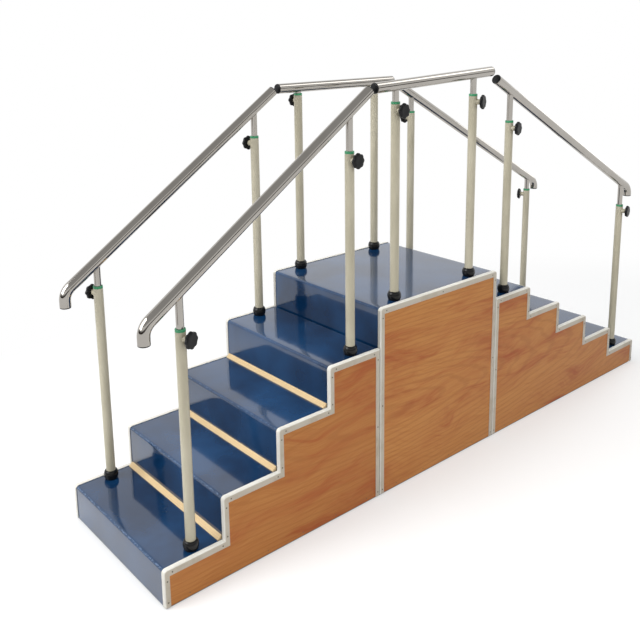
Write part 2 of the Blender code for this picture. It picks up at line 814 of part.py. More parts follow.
def build():
    """Builds every piece of the stairs."""
    clear_scene()
    vinyl = make_material("blue_vinyl", (0.030, 0.078, 0.225), 0.22)
    wood = make_material("cherry_laminate", (0.434, 0.181, 0.061), 0.42)
    white = make_material("trim_white", (0.610, 0.590, 0.520), 0.40)
    cream = make_material("post_cream", (0.600, 0.570, 0.440), 0.38)
    steel = make_material("polished_steel", (0.620, 0.590, 0.550), 0.16, 1.0)
    rubber = make_material("black_rubber", (0.012, 0.012, 0.012), 0.50)
    plastic = make_material("black_plastic", (0.014, 0.014, 0.015), 0.35)
    paint = make_material("frame_grey", (0.120, 0.125, 0.130), 0.50)

    left_path = stepped_path_left()
    right_path = stepped_path_right()
    middle_path = platform_path()

    # Path, open sides and square top corner of each unit.
    units = {
        "left": (left_path, False, True, (len(left_path) - 2,)),
        "platform": (middle_path, False, False, ()),
        "right": (right_path, True, False, (1,)),
    }

    # Vinyl-wrapped cover boards, with the left flight's corner strips.
    for unit, (path, open_left, open_right, sharp) in units.items():
        name = f"cover_{unit}"
        outline = cover_outline(path, open_left, open_right, sharp)
        cover = new_object(name, extrude_outline(name, outline, -BOARD_OUTER_Y, BOARD_OUTER_Y), vinyl)
        if unit == "left":
            add_strips(cover, offset_path(path, TRIM_STAND, TRIM_STAND), vinyl)

    # Side panels and edge trims, near ones built and far ones reflected.
    for unit, (path, open_left, open_right, sharp) in units.items():
        outline = panel_outline(path, open_left, open_right)
        for side, sign in SIDES.items():
            low, high = sorted((sign * BOARD_OUTER_Y, sign * PANEL_INNER_Y))
            name = f"side_panel_{unit}_{side}"
            new_object(name, extrude_outline(name, outline, low, high), wood)
        near_trim = trim_mesh(f"edge_trim_{unit}_near", path, sharp)
        new_object(f"edge_trim_{unit}_near", near_trim, white)
        far_trim = mirrored_mesh(near_trim, f"edge_trim_{unit}_far")
        new_object(f"edge_trim_{unit}_far", far_trim, white)

    # Inner frames. A portal stands behind a riser and its top carries the tread there.
    inset = TRIM_STAND + COVER_THICKNESS + TOUCH_GAP
    left_inner = offset_path(left_path, inset, inset)
    right_inner = offset_path(right_path, inset, inset)
    left_x_high = left_path[-1][0] - TRIM_STAND
    left_middle = left_inner[2 * (LEFT_TREAD_COUNT // 2) + 1]
    left_portals = [
        left_inner[1],
        left_middle,
        (left_x_high - FRAME_TUBE, left_inner[-2][1]),
    ]
    frame_object("inner_frame_left", left_inner[0][0], left_x_high, left_portals, paint)
    right_x_low = right_path[0][0] + TRIM_STAND
    right_middle = right_inner[2 * (RIGHT_TREAD_COUNT // 2)]
    right_portals = [
        (right_x_low, right_inner[1][1]),
        (right_middle[0] - FRAME_TUBE, right_middle[1]),
        (right_inner[-2][0] - FRAME_TUBE, right_inner[-2][1]),
    ]
    frame_object("inner_frame_right", right_x_low, right_inner[-1][0], right_portals, paint)
    platform_low = PLATFORM_LEFT_X + inset
    platform_high = PLATFORM_RIGHT_X - inset
    platform_top = PLATFORM_HEIGHT - inset
    platform_portals = [
        (platform_low, platform_top),
        ((platform_low + platform_high - FRAME_TUBE) / 2, platform_top),
        (platform_high - FRAME_TUBE, platform_top),
    ]
    frame_object("inner_frame_platform", platform_low, platform_high, platform_portals, paint)

    # Posts with their collars and knobs.
    stations = post_stations(left_path, right_path)
    post_form = post_mesh("post", cream)
    collar = collar_mesh()
    knob = knob_mesh()
    for place, x, foot in stations:
        for side, sign in SIDES.items():
            y = sign * POST_Y
            base = foot + TOUCH_GAP
            post = new_object(f"post_{place}_{side}", post_form, cream, (x, y, base))
            turn = math.radians(POST_TURN_DEGREES[place, side])
            post.rotation_euler.z = turn if sign < 0 else turn + math.pi
            new_object(f"collar_{place}_{side}", collar, rubber, (x, y, base))
            knob_z = base + POST_HEIGHT - KNOB_BELOW_TOP
            star = new_object(f"knob_{place}_{side}", knob, plastic, (x, y, knob_z))
            star.rotation_euler = (-sign * math.pi / 2, 0.0, turn)

    # Handrail sections, at their rest heights.
    lifts = {
        ("left", "near"): LEFT_NEAR_LIFT,
        ("left", "far"): LEFT_FAR_LIFT,
        ("platform", "near"): PLATFORM_NEAR_LIFT,
        ("platform", "far"): PLATFORM_FAR_LIFT,
        ("right", "near"): RIGHT_NEAR_LIFT,
        ("right", "far"): RIGHT_FAR_LIFT,
    }
    tops = [(x, foot + TOUCH_GAP + POST_HEIGHT) for _, x, foot in stations]
    for unit, (posts, path_of) in rail_paths(tops).items():
        for side, sign in SIDES.items():
            slope = {"left": LEFT_RAIL_SLOPE, "right": -RIGHT_RAIL_SLOPE}.get(unit, 0.0)
            if unit == "platform" and side == "near":
                slope = NEAR_PLATFORM_RAIL_SLOPE
            first_x = posts[0][0]
            level = lowest_axis_height(posts, slope) + lifts[unit, side]

            def height(x, level=level, slope=slope, first_x=first_x):
                return level + slope * (x - first_x)

            leg_xs = [post[0] for post in posts]
            name = f"handrail_{unit}_{side}"
            rail_object(name, path_of(height), leg_xs, height, sign * POST_Y, steel)


build()
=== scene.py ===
# %% [markdown]
# # Two-sided training stairs: how each surface is made
#
# The packed model gives every piece's place. This file dresses it: covers, trims, strips,
# tubes, rings and knobs are worked out again as fine surfaces with numpy, and the side
# panels and inner frames keep their solids and get a finish. Each step says what the
# piece is on the real stairs, how it could be made, and why this way was chosen.

import math

import bmesh
import bpy
import numpy as np
from mathutils import Matrix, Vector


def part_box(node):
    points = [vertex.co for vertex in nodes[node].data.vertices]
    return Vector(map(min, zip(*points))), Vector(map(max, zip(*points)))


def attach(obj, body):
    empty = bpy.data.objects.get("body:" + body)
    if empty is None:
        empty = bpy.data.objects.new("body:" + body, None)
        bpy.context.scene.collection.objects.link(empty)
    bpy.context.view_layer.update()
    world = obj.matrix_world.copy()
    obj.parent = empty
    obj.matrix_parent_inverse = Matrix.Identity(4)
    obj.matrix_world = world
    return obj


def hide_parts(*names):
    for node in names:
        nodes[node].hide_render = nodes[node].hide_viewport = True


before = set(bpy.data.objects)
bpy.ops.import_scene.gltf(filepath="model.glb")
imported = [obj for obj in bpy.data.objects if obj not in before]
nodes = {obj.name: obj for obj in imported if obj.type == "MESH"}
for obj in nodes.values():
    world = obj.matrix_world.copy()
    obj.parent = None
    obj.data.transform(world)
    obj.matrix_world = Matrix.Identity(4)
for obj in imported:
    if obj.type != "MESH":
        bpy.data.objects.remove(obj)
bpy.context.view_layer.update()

# %% [markdown]
# ## The camera
#
# It could be set by eye. Here it was solved: the edges, nosings, post feet and rings in
# the photograph give a position, three angles and a focal length that bring the model
# onto the picture within about a pixel. The axes are built from the angles, so the
# roll of about a degree is kept.

# %% Camera
CAMERA_PLACE = np.array([-2.4474, -2.3032, 1.7743])
CAMERA_YAW, CAMERA_PITCH, CAMERA_ROLL = np.radians([49.407, -11.737, -0.695])
FOCAL_PIXELS = 805.3
PICTURE_PIXELS = 640
SENSOR_MM = 36.0
FRAME_SHIFT = -0.2


def add(name, data):
    """Puts a new object with this data into the scene."""
    item = bpy.data.objects.new(name, data)
    bpy.context.scene.collection.objects.link(item)
    return item


def set_up(item, axes, place):
    """Turns a camera or a lamp to three unit axes and moves it to its place."""
    pose = np.eye(4)
    pose[:3, :3] = np.stack(axes, axis=1)
    pose[:3, 3] = place
    item.matrix_world = Matrix(pose.tolist())


def camera_axes():
    """Forward from yaw and pitch; right is level, up is right x forward, both rolled."""
    forward = np.array([
        math.cos(CAMERA_YAW) * math.cos(CAMERA_PITCH),
        math.sin(CAMERA_YAW) * math.cos(CAMERA_PITCH),
        math.sin(CAMERA_PITCH),
    ])
    right = np.array([math.sin(CAMERA_YAW), -math.cos(CAMERA_YAW), 0.0])
    up = np.cross(right, forward)
    c, s = math.cos(CAMERA_ROLL), math.sin(CAMERA_ROLL)
    return right * c + up * s, up * c - right * s, -forward


camera_data = bpy.data.cameras.new("camera")
camera_data.sensor_width = SENSOR_MM
camera_data.lens = FOCAL_PIXELS / PICTURE_PIXELS * SENSOR_MM
camera_data.shift_y = FRAME_SHIFT
camera = add("camera", camera_data)
set_up(camera, camera_axes(), CAMERA_PLACE)
bpy.context.scene.camera = camera
print("lens", round(camera_data.lens, 2), "mm")

# %% [markdown]
# ## Writing surfaces
#
# Every new piece is a grid: rows of points that are joined to the next row. A loop over
# vertices would be slow and hard to read, so the points come as one array, and the
# faces come from index arithmetic: a quad joins a point, its neighbour in the row, and
# the same two in the next row. Ends are closed by one flat face each, unless the piece
# closes on itself.

# %% Grid to mesh
MERGE_BELOW = 1e-6  # metres: points closer than this are one, lengths below it none


def grid_faces(rows, columns, start):
    """Quads of a grid whose rows close on themselves: indices by row * columns + column."""
    row, column = np.meshgrid(np.arange(rows - 1), np.arange(columns), indexing="ij")
    after = (column + 1) % columns
    quads = np.stack([
        row * columns + column,
        row * columns + after,
        (row + 1) * columns + after,
        (row + 1) * columns + column,
    ], axis=-1)
    return quads.reshape(-1, 4) + start


def skin(name, grids, crisp_above, capped=True):
    """Turns closed tubes of points, each (rows, columns, 3), into one mesh object.

    Each tube's first and last row is closed by a flat face, doubles are merged, the
    faces are turned outwards, and edges sharper than the angle in degrees stay crisp.
    """
    corners, faces, start = [], [], 0
    for grid in grids:
        rows, columns = grid.shape[:2]
        corners.append(grid.reshape(-1, 3))
        faces += grid_faces(rows, columns, start).tolist()
        if capped:
            faces.append(list(range(start + columns - 1, start - 1, -1)))
            last = start + (rows - 1) * columns
            faces.append(list(range(last, last + columns)))
        start += rows * columns
    mesh = bpy.data.meshes.new(name)
    mesh.from_pydata(np.concatenate(corners).tolist(), [], faces)
    bm = bmesh.new()
    bm.from_mesh(mesh)
    bmesh.ops.remove_doubles(bm, verts=bm.verts, dist=MERGE_BELOW)
    bmesh.ops.recalc_face_normals(bm, faces=bm.faces)
    bm.to_mesh(mesh)
    bm.free()
    mesh.shade_smooth()
    mesh.set_sharp_from_angle(angle=math.radians(crisp_above))
    return add(name, mesh)


print("a grid of 3 rows of 4 has", len(grid_faces(3, 4, 0)), "quads")

# %% [markdown]
# Two kinds of rows come up again and again: a profile that goes round an axis, as on a
# lathe, and a section that runs along Y, as from an extruder. Spin and extrude could do
# the same, but as formulas they give whole arrays and always the same order of points.

# %% Lathe and extruder


def turned(profile, sides):
    """A profile of (radius, height) carried round Z: x = r cos t, y = r sin t, z = h."""
    profile = np.asarray(profile, float)
    turn = np.linspace(0, 2 * np.pi, sides, endpoint=False)
    radius, height = profile[:, :1], profile[:, 1:]
    level = np.broadcast_to(height, (len(profile), sides))
    return np.stack([radius * np.cos(turn), radius * np.sin(turn), level], axis=-1)


def carried_along_y(section, y):
    """Rows of a section in X and Z, one at each y; the rows may differ from each other."""
    rows = np.broadcast_to(section, (len(y), *section.shape[-2:]))
    across = np.broadcast_to(y[:, None], rows.shape[:2])
    return np.stack([rows[..., 0], across, rows[..., 1]], axis=-1)


print("a turned rod has", turned([(0, 0), (1, 0), (1, 2), (0, 2)], 6).shape, "rows, columns, axes")

# %% [markdown]
# A finished mesh still has to be told what it is: which body of the model it rides on,
# which finish it has, and which of the solids it stands for. Some finishes also read a
# number from the mesh, such as how worn a point is.

# %% Numbers on points, and dressing


def point_places(piece):
    """X, Y and Z of every point of a piece, one row each."""
    places = np.empty(len(piece.data.vertices) * 3)
    piece.data.vertices.foreach_get("co", places)
    return places.reshape(-1, 3)


def mark_points(piece, name, numbers):
    """Stores one number on every point of a piece, for its finish to read."""
    piece.data.attributes.new(name, "FLOAT", "POINT").data.foreach_set("value", numbers)


def dress(piece, body, material, stands_for=()):
    """Gives a piece its body, its finish slot, its material and the nodes it stands for."""
    piece.data.materials.clear()
    piece.data.materials.append(material)
    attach(piece, body)
    if stands_for:
        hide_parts(*stands_for)
    return piece


moving = [name for name in nodes if name.startswith(("knob", "handrail"))]
print("solids that move", len(moving), "of", len(nodes))

# %% [markdown]
# ## Colours
#
# A colour that is read from a picture is written with 0 to 255, but the shader counts
# light. Typing converted numbers would hide what they are, so a function converts them.

# %% Colours


def linear(red, green, blue):
    """The shader's linear value of a colour written in 0 to 255 as a picture shows it."""
    value = np.array([red, green, blue]) / 255.0
    value = np.where(value > 0.04045, ((value + 0.055) / 1.055) ** 2.4, value / 12.92)
    return (*value.tolist(), 1.0)


def grey(value):
    """A neutral colour of this linear brightness."""
    return (value, value, value, 1.0)


print("a picture's mid grey is", round(linear(128, 128, 128)[0], 3), "to the shader")

# %% [markdown]
# ## Shader sums in plain Python
#
# Patterns need a lot of arithmetic. Wiring Math nodes by hand hides the formula, so a
# small class wraps an output socket and turns +, - and * into Math nodes.

# %% Wires


class Wire:
    """An output socket that Python can add, subtract and multiply."""

    def __init__(self, graph, socket):
        self.graph = graph
        self.socket = socket

    def math(self, operation, first, second=0.0):
        """One Math node on two numbers or wires."""
        settings = {"operation": operation}
        return self.graph.node("ShaderNodeMath", settings, {0: first, 1: second})

    def __add__(self, other):
        return self.math("ADD", self, other)

    def __sub__(self, other):
        return self.math("SUBTRACT", self, other)

    def __rsub__(self, other):
        return self.math("SUBTRACT", other, self)

    def __mul__(self, other):
        return self.math("MULTIPLY", self, other)

    __radd__ = __add__
    __rmul__ = __mul__

    def absolute(self):
        """The number without its sign."""
        return self.math("ABSOLUTE", self)

    def larger(self, other):
        """The larger of two numbers."""
        return self.math("MAXIMUM", self, other)

    def step(self, low, high):
        """0 below low, 1 above high, smooth between."""
        sockets = {"Value": self, "From Min": low, "From Max": high}
        settings = {"interpolation_type": "SMOOTHSTEP"}
        return self.graph.node("ShaderNodeMapRange", settings, sockets)


print("wires know", [name for name in vars(Wire) if not name.startswith("__")])

# %% [markdown]
# Every other node comes from one method that takes the node's type, its settings and its
# sockets. The world, the floor and the finishes all build on it.

# %% Graphs


class Graph:
    """A node tree with the one method that adds any node."""

    def __init__(self, tree):
        self.tree = tree

    def feed(self, node, sockets):
        """Links wires to a node's sockets and sets plain values on them."""
        for key, value in sockets.items():
            if isinstance(value, Wire):
                self.tree.links.new(value.socket, node.inputs[key])
            else:
                node.inputs[key].default_value = value

    def node(self, kind, settings=None, sockets=None, out=0):
        """Adds a node of any kind: its settings are set first, then its sockets."""
        node = self.tree.nodes.new(kind)
        for key, value in (settings or {}).items():
            setattr(node, key, value)
        self.feed(node, sockets or {})
        return Wire(self, node.outputs[out]) if node.outputs else node

    def mix(self, factor, first, second):
        """Blend of two colours."""
        settings = {"data_type": "RGBA"}
        return self.node("ShaderNodeMix", settings, {0: factor, 6: first, 7: second}, out=2)

    def noise(self, where, scale, detail, roughness=0.5, distortion=0.0):
        """Fractal noise, about 0.3 to 0.7 around a mean of a half."""
        sockets = {"Vector": where, "Scale": scale, "Detail": detail}
        sockets.update({"Roughness": roughness, "Distortion": distortion})
        return self.node("ShaderNodeTexNoise", None, sockets)


print("graphs know", [name for name in vars(Graph) if not name.startswith("__")])

# %% [markdown]
# A finish is a graph with a material round it. Coordinates are always the piece's own
# Object coordinates, in metres, so a pattern has its real size and never slides.

# %% Finishes


class Finish(Graph):
    """A new material with a Principled shader and helpers for its patterns."""

    def __init__(self, name, plain):
        self.material = bpy.data.materials.new(name)
        self.material.use_nodes = True
        super().__init__(self.material.node_tree)
        self.shader = self.tree.nodes["Principled BSDF"]
        self.feed(self.shader, plain)

    def place(self, scale=(1.0, 1.0, 1.0), shift=(0.0, 0.0, 0.0)):
        """Object coordinates, stretched and moved."""
        here = self.node("ShaderNodeTexCoord", out="Object")
        sockets = {"Vector": here, "Scale": scale, "Location": shift}
        return self.node("ShaderNodeMapping", None, sockets)

    def axis(self, name):
        """One of Object X, Y or Z as a number in metres."""
        here = self.node("ShaderNodeTexCoord", out="Object")
        return self.node("ShaderNodeSeparateXYZ", None, {0: here}, out=name)

    def mark(self, name):
        """A number that is stored on the piece's points."""
        return self.node("ShaderNodeAttribute", {"attribute_name": name}, out="Fac")

    def bump(self, height, strength, depth):
        """Height in shares of depth, as a tilt of the surface."""
        sockets = {"Height": height, "Strength": strength, "Distance": depth}
        self.end(Normal=self.node("ShaderNodeBump", None, sockets))

    def end(self, **links):
        """Feeds the Principled shader's own sockets."""
        self.feed(self.shader, {key.replace("_", " "): value for key, value in links.items()})


print("finishes know", [name for name in vars(Finish) if not name.startswith("__")])

# %% [markdown]
# ## Sizes shared with the solids
#
# The same values that shape the solids are written here in metres, so each surface lies
# on its solid. Places of posts are read from the collars' boxes.

# %% Shared sizes
PLATFORM_HEIGHT = 0.755
LEFT_RISER, RIGHT_RISER = 0.1549, 0.1262
LEFT_DEPTHS = np.array([0.226, 0.230, 0.230, 0.2476])
RIGHT_DEPTHS = np.array([0.2448, 0.237, 0.237, 0.237, 0.237])
LEFT_END_X, PLATFORM_LEFT_X, PLATFORM_RIGHT_X, RIGHT_START_X = -1.4022, -0.4656, 0.2224, 0.2254
RIGHT_END_X = RIGHT_START_X + RIGHT_DEPTHS.sum()
LEFT_SEAM_X = (LEFT_END_X + LEFT_DEPTHS.sum() + PLATFORM_LEFT_X) / 2
RIGHT_SEAM_X = (PLATFORM_RIGHT_X + RIGHT_START_X) / 2
BOARD_FOOT = 0.005
TRIM_OUTER_Y, TRIM_THICKNESS, TRIM_STAND, TRIM_LIP = 0.325, 0.0025, 0.0028, 0.014
LIP_INNER_Y = TRIM_OUTER_Y - TRIM_THICKNESS - TRIM_LIP
BOARD_OUTER_Y = TRIM_OUTER_Y - TRIM_STAND
COVER_THICKNESS, NOSING_RADIUS = 0.015, 0.010
POST_RADIUS, POST_BORE_RADIUS, POST_HEIGHT = 0.017, 0.0147, 0.748
RING_BORE_RADIUS, RING_HEIGHT = 0.0135, 0.009
COLLAR_RADIUS, COLLAR_FOOT_RADIUS, COLLAR_HEIGHT = 0.0265, 0.0215, 0.034
KNOB_BELOW_TOP, KNOB_RADIUS, KNOB_LOBES, KNOB_HEAD_LENGTH = 0.0315, 0.0285, 8, 0.014
BOSS_LENGTH, BOSS_RADIUS, STUD_HOLE_RADIUS = 0.016, 0.011, 0.0046
HANDRAIL_RADIUS, LEG_RADIUS, LEG_LENGTH = 0.020, 0.0125, 0.500
SIDES = {"near": -1.0, "far": 1.0}
PLACES = ("left_low", "left_high", "platform_left", "platform_right", "right_high", "right_low")


def post_axis(place, side):
    """X, Y and foot height of a post, from the middle and underside of its collar."""
    low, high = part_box(f"collar_{place}_{side}")
    return (low[0] + high[0]) / 2, (low[1] + high[1]) / 2, low[2]


for place in PLACES:
    print(place, [round(value, 4) for value in post_axis(place, "near")])

# %% [markdown]
# ## Finishes of the boards
#
# Blue vinyl: a plasticised sheet pulled over a padded board. It is close to a mirror at
# a low angle, with faint long waves from the board under it and fine dust. A flat blue
# would look like card, so the colour drifts a little and the roughness follows two
# noises. Along the nosings the colour is lighter in fine specks, most of all on the
# lowest ones: a painted highlight for the bright line that light gives on a nosing. A
# number on the mesh, "nosing", says how far out on the rounding a point lies.

# %% Blue vinyl
vinyl = Finish("blue vinyl", {"IOR": 1.5, "Coat Roughness": 0.04, "Coat IOR": 1.5})
drift = vinyl.noise(vinyl.place(), 5.0, 3.0)
dust = vinyl.noise(vinyl.place(), 160.0, 4.0, 0.7)
clean_vinyl = vinyl.mix(drift.step(0.30, 0.72), linear(8, 39, 71), linear(22, 63, 104))
low_down = 1.0 - vinyl.axis("Z").step(0.15, 0.60) * 0.8
specks = vinyl.noise(vinyl.place((1.0, 0.6, 1.0)), 210.0, 3.0, 0.7).step(0.44, 0.62)
# Painted highlight: pale specks out on the nosing rounding, strongest low down.
painted_nosing_highlight = vinyl.mark("nosing").step(0.55, 0.90) * specks * low_down
vinyl_colour = vinyl.mix(painted_nosing_highlight * 0.4, clean_vinyl, linear(140, 168, 206))
vinyl_waves = vinyl.noise(vinyl.place(), 7.0, 2.0, 0.4)
wrinkles = vinyl.noise(vinyl.place((1.0, 0.45, 1.0)), 26.0, 3.0, 0.55, 0.6)
vinyl.bump(vinyl_waves + wrinkles * 0.10 + dust * 0.015, 0.22, 0.004)
vinyl.end(
    Base_Color=vinyl_colour,
    Roughness=dust * 0.08 + drift * 0.04 + 0.05,
    Coat_Weight=dust * 0.3 + 0.30,
)
print("vinyl nodes", len(vinyl.tree.nodes))

# %% [markdown]
# Wood-grain laminate: printed cherry with lines along the panel that swing into long
# arches where growth rings are cut at a slant, and soft redder clouds. A single wood
# texture looks striped from afar, so patterns of low contrast are laid over each other.
# The lines are noise stretched along X. Before they are read, the height is moved up and
# down by a wide noise, height' = z + swing * noise, which is what bends them into arches.
# The redder clouds are a wider noise read at the same bent height, so they follow the
# grain, and half of the lines is added to it, which frays their edges along the lines.
# Rings and short dark pores come on top. The left panels are cut from a redder sheet.

# %% Cherry laminate
SHEET_EDGE = 0.003
wood = Finish("cherry laminate", {"IOR": 1.48, "Specular IOR Level": 0.3})
swing = wood.noise(wood.place((1.5, 1.0, 3.0), (0.7, 0.0, 0.2)), 1.5, 2.0, 0.45)
bent_height = wood.axis("Z") + swing * 0.24


def grain(along, through, up):
    """Object X, Y and the bent height, each stretched by its own number."""
    sockets = {0: wood.axis("X") * along, 1: wood.axis("Y") * through, 2: bent_height * up}
    return wood.node("ShaderNodeCombineXYZ", None, sockets)


lines = wood.noise(grain(1.8, 12.0, 58.0), 2.4, 7.0, 0.66, 0.2)
fibres = wood.noise(wood.place((4.0, 60.0, 190.0)), 2.4, 3.0, 0.6)
rings = {"wave_type": "RINGS", "rings_direction": "SPHERICAL", "wave_profile": "SIN"}
ring_sockets = {
    "Vector": wood.place((0.30, 0.3, 1.9), (0.15, 0.0, -0.62)),
    "Scale": 9.0,
    "Distortion": 9.0,
    "Detail": 3.0,
    "Detail Scale": 0.5,
    "Detail Roughness": 0.6,
}
arches = wood.node("ShaderNodeTexWave", rings, ring_sockets, out="Fac")
clouds = wood.noise(grain(2.4, 5.0, 14.0), 1.0, 4.0, 0.6, 0.4) + lines * 0.5
pores = wood.noise(wood.place((7.0, 40.0, 90.0)), 2.2, 2.0, 0.5, 0.3)
pale, middle, blush = linear(197, 136, 70), linear(181, 115, 54), linear(162, 78, 32)
redder, dark_line = linear(150, 80, 30), linear(150, 86, 36)
grained = wood.mix((lines * 0.7 + fibres * 0.3).step(0.32, 0.68), middle, pale)
left_sheet = 1.0 - wood.axis("X").step(LEFT_SEAM_X - SHEET_EDGE, LEFT_SEAM_X + SHEET_EDGE)
base = wood.mix(left_sheet * 0.26, grained, redder)
clouded = wood.mix(clouds.step(0.68, 1.02), base, blush)
arched = wood.mix(arches.step(0.60, 1.0) * 0.26, clouded, dark_line)
wood_colour = wood.mix(pores.step(0.60, 0.76) * 0.22, arched, dark_line)
wood.bump(fibres, 0.08, 0.0004)
wood.end(Base_Color=wood_colour, Roughness=fibres * 0.12 + 0.32)
print("wood nodes", len(wood.tree.nodes))

# %% [markdown]
# Off-white edge trim is powder-coated aluminium or PVC: nearly white, satin, with a fine
# orange peel and some random grime. One even white would hide its L section, so the face
# on the side of the boxes is painted a little browner and darker, as painted shade, and
# the seams between the units are painted dark, as painted shade in the gaps. Both are
# found from the place alone: |y| for the side, and for the seams ||x - middle| - half the distance
# between them|.

# %% Trim white
SEAM_MIDDLE_X = (LEFT_SEAM_X + RIGHT_SEAM_X) / 2
SEAM_REACH_X = (RIGHT_SEAM_X - LEFT_SEAM_X) / 2
trim = Finish("trim white", {"IOR": 1.47})
peel = trim.noise(trim.place(), 420.0, 2.0)
grime = trim.noise(trim.place(), 14.0, 4.0, 0.65)
# Painted shade: the side face is painted browner and darker than the lip; grime noise is added on
# top.
painted_shade_side = trim.axis("Y").absolute().step(TRIM_OUTER_Y - 0.001, TRIM_OUTER_Y)
grime_and_painted_shade = grime.step(0.40, 0.75) * 0.25 + painted_shade_side * 0.75
trim_clean = trim.mix(grime_and_painted_shade, linear(226, 223, 215), linear(176, 165, 147))
from_seam = ((trim.axis("X") - SEAM_MIDDLE_X).absolute() - SEAM_REACH_X).absolute()
# Painted shade: the trim is painted dark within about 2 mm of the seams between units.
painted_seam_shade = 1.0 - from_seam.step(0.0010, 0.0021)
trim_colour = trim.mix(painted_seam_shade * 0.8, trim_clean, linear(110, 102, 88))
trim.bump(peel, 0.10, 0.0004)
trim.end(Base_Color=trim_colour, Roughness=grime * 0.15 + 0.30)
print("seams at", round(LEFT_SEAM_X, 4), round(RIGHT_SEAM_X, 4))

# %% [markdown]
# The posts are painted cream and the inner frames grey. Paint could be one flat colour,
# but a slow drift in tone and a fine peel show that it is sprayed steel. The glides
# under the frames are black plastic: they are part of the frames' solids, so the lowest
# few millimetres are simply black.

# %% Frame and post paint
GLIDE_TOP = (0.0046, 0.0052)
cream = Finish("post cream", {"IOR": 1.5})
cream_peel = cream.noise(cream.place(), 300.0, 2.0)
cream_drift = cream.noise(cream.place((1, 1, 0.3)), 16.0, 3.0)
cream_tone = cream_drift.step(0.35, 0.7)
cream_colour = cream.mix(cream_tone, linear(178, 171, 149), linear(192, 185, 164))
cream.bump(cream_peel, 0.12, 0.0005)
cream.end(Base_Color=cream_colour, Roughness=cream_drift * 0.12 + 0.26)

frame_paint = Finish("frame grey", {"IOR": 1.5})
frame_spots = frame_paint.noise(frame_paint.place(), 60.0, 4.0, 0.6)
above_glide = frame_paint.axis("Z").step(*GLIDE_TOP)
frame_tone = frame_paint.mix(frame_spots, linear(92, 94, 96), linear(112, 114, 116))
frame_colour = frame_paint.mix(above_glide, linear(18, 18, 18), frame_tone)
frame_paint.bump(frame_spots, 0.1, 0.0005)
frame_paint.end(Base_Color=frame_colour, Roughness=frame_spots * 0.2 + 0.4)
print("paints", cream.material.name, "and", frame_paint.material.name)

# %% [markdown]
# Handrails are polished stainless tube. Polished steel is a mirror with very fine
# scratches that run round the tube from the polishing belt, so it is a metal of low
# roughness that varies a little, with handling marks in patches.

# %% Polished steel
steel = Finish("polished steel", {"Metallic": 1.0})
marks = steel.noise(steel.place(), 11.0, 2.0, 0.5)
scratches = steel.noise(steel.place((260.0, 60.0, 60.0)), 3.0, 3.0, 0.6)
steel_colour = steel.mix(marks, linear(166, 161, 154), linear(182, 178, 172))
steel.bump(scratches, 0.02, 0.0001)
steel.end(Base_Color=steel_colour, Roughness=marks * 0.05 + 0.05)
print("steel nodes", len(steel.tree.nodes))

# %% [markdown]
# The small parts are plain: rubber collars, black knobs and plugs, green rings, screws.
# Each could be one colour, but at close range that looks unreal. One noise each is
# enough: it sets the colour between two tones, the fine bumps and the roughness together.

# %% Rubber, plastics and screws


def speckled(name, plain, noise, tones, bump, roughness):
    """One noise drives all: colour = mix of two tones, roughness = a * noise + b."""
    finish = Finish(name, plain)
    speckle = finish.noise(finish.place(), *noise)
    if bump:
        finish.bump(speckle, *bump)
    amount, least = roughness
    colour = finish.mix(speckle, *(linear(*tone) for tone in tones))
    finish.end(Base_Color=colour, Roughness=speckle * amount + least)
    return finish.material


rubber = speckled(
    "black rubber", {"IOR": 1.5, "Specular IOR Level": 0.3}, (220.0, 4.0, 0.7),
    ((10, 10, 11), (24, 24, 25)), (0.15, 0.0006), (0.1, 0.17),
)
plastic = speckled(
    "black plastic", {"IOR": 1.5, "Specular IOR Level": 0.25}, (700.0, 2.0, 0.6),
    ((9, 10, 12), (18, 19, 21)), (0.2, 0.0003), (0.15, 0.30),
)
ring_green = speckled(
    "guide ring green", {"IOR": 1.5}, (90.0, 3.0),
    ((48, 132, 88), (72, 158, 112)), (0.1, 0.0003), (0.1, 0.30),
)
screw_steel = speckled(
    "trim screw steel", {"Metallic": 1.0}, (500.0, 3.0),
    ((70, 66, 60), (130, 124, 112)), None, (0.2, 0.3),
)
print("small parts", [item.name for item in (rubber, plastic, ring_green, screw_steel)])

# %% [markdown]
# The strips in the corners of the left flight are beige plastic, scuffed along their
# length. The grooves are darker as painted shade: a groove is too fine for its shadow
# alone to show, so a number on the mesh, "groove", says how deep a point lies and darkens it.

# %% Corner strip beige
strip_beige = Finish("corner strip beige", {"IOR": 1.5})
rub = strip_beige.noise(strip_beige.place((0.6, 3.0, 3.0)), 40.0, 4.0, 0.6)
strip_face = strip_beige.mix(rub, linear(224, 194, 146), linear(236, 210, 164))
# Painted shade: the deeper a point lies in a groove, the browner it is painted.
strip_colour = strip_beige.mix(strip_beige.mark("groove"), strip_face, linear(158, 120, 74))
strip_beige.bump(rub, 0.12, 0.0004)
strip_beige.end(Base_Color=strip_colour, Roughness=rub * 0.15 + 0.38)
print("finishes", len(bpy.data.materials))

# %% [markdown]
# ## Stepped lines
#
# The covers, trims and strips all follow the same stepped line in X and Z. Each could
# have its own list of corners, but then a changed riser would have to be changed in all
# of them. So one line is worked out from the sizes, and each piece lies a little above
# or below it.

# %% Stepped lines


def stepped(start_x, depths, levels):
    """Up to each level and along each depth: running sums of depths, every corner twice."""
    x = start_x + np.concatenate([[0.0], np.cumsum(depths)])
    z = np.concatenate([[BOARD_FOOT], np.repeat(levels, 2), [BOARD_FOOT]])
    return np.stack([np.repeat(x, 2), z], 1)


def into_solid(line):
    """At each corner, the shift that moves both of its edges 1 m into the solid."""
    edge = np.diff(line, axis=0)
    edge /= np.linalg.norm(edge, axis=1, keepdims=True)
    inward = np.stack([edge[:, 1], -edge[:, 0]], 1)
    first = np.concatenate([inward[:1], inward])
    second = np.concatenate([inward, inward[-1:]])
    same = np.abs((first * second).sum(1)) > 0.5
    return np.where(same[:, None], first, first + second)


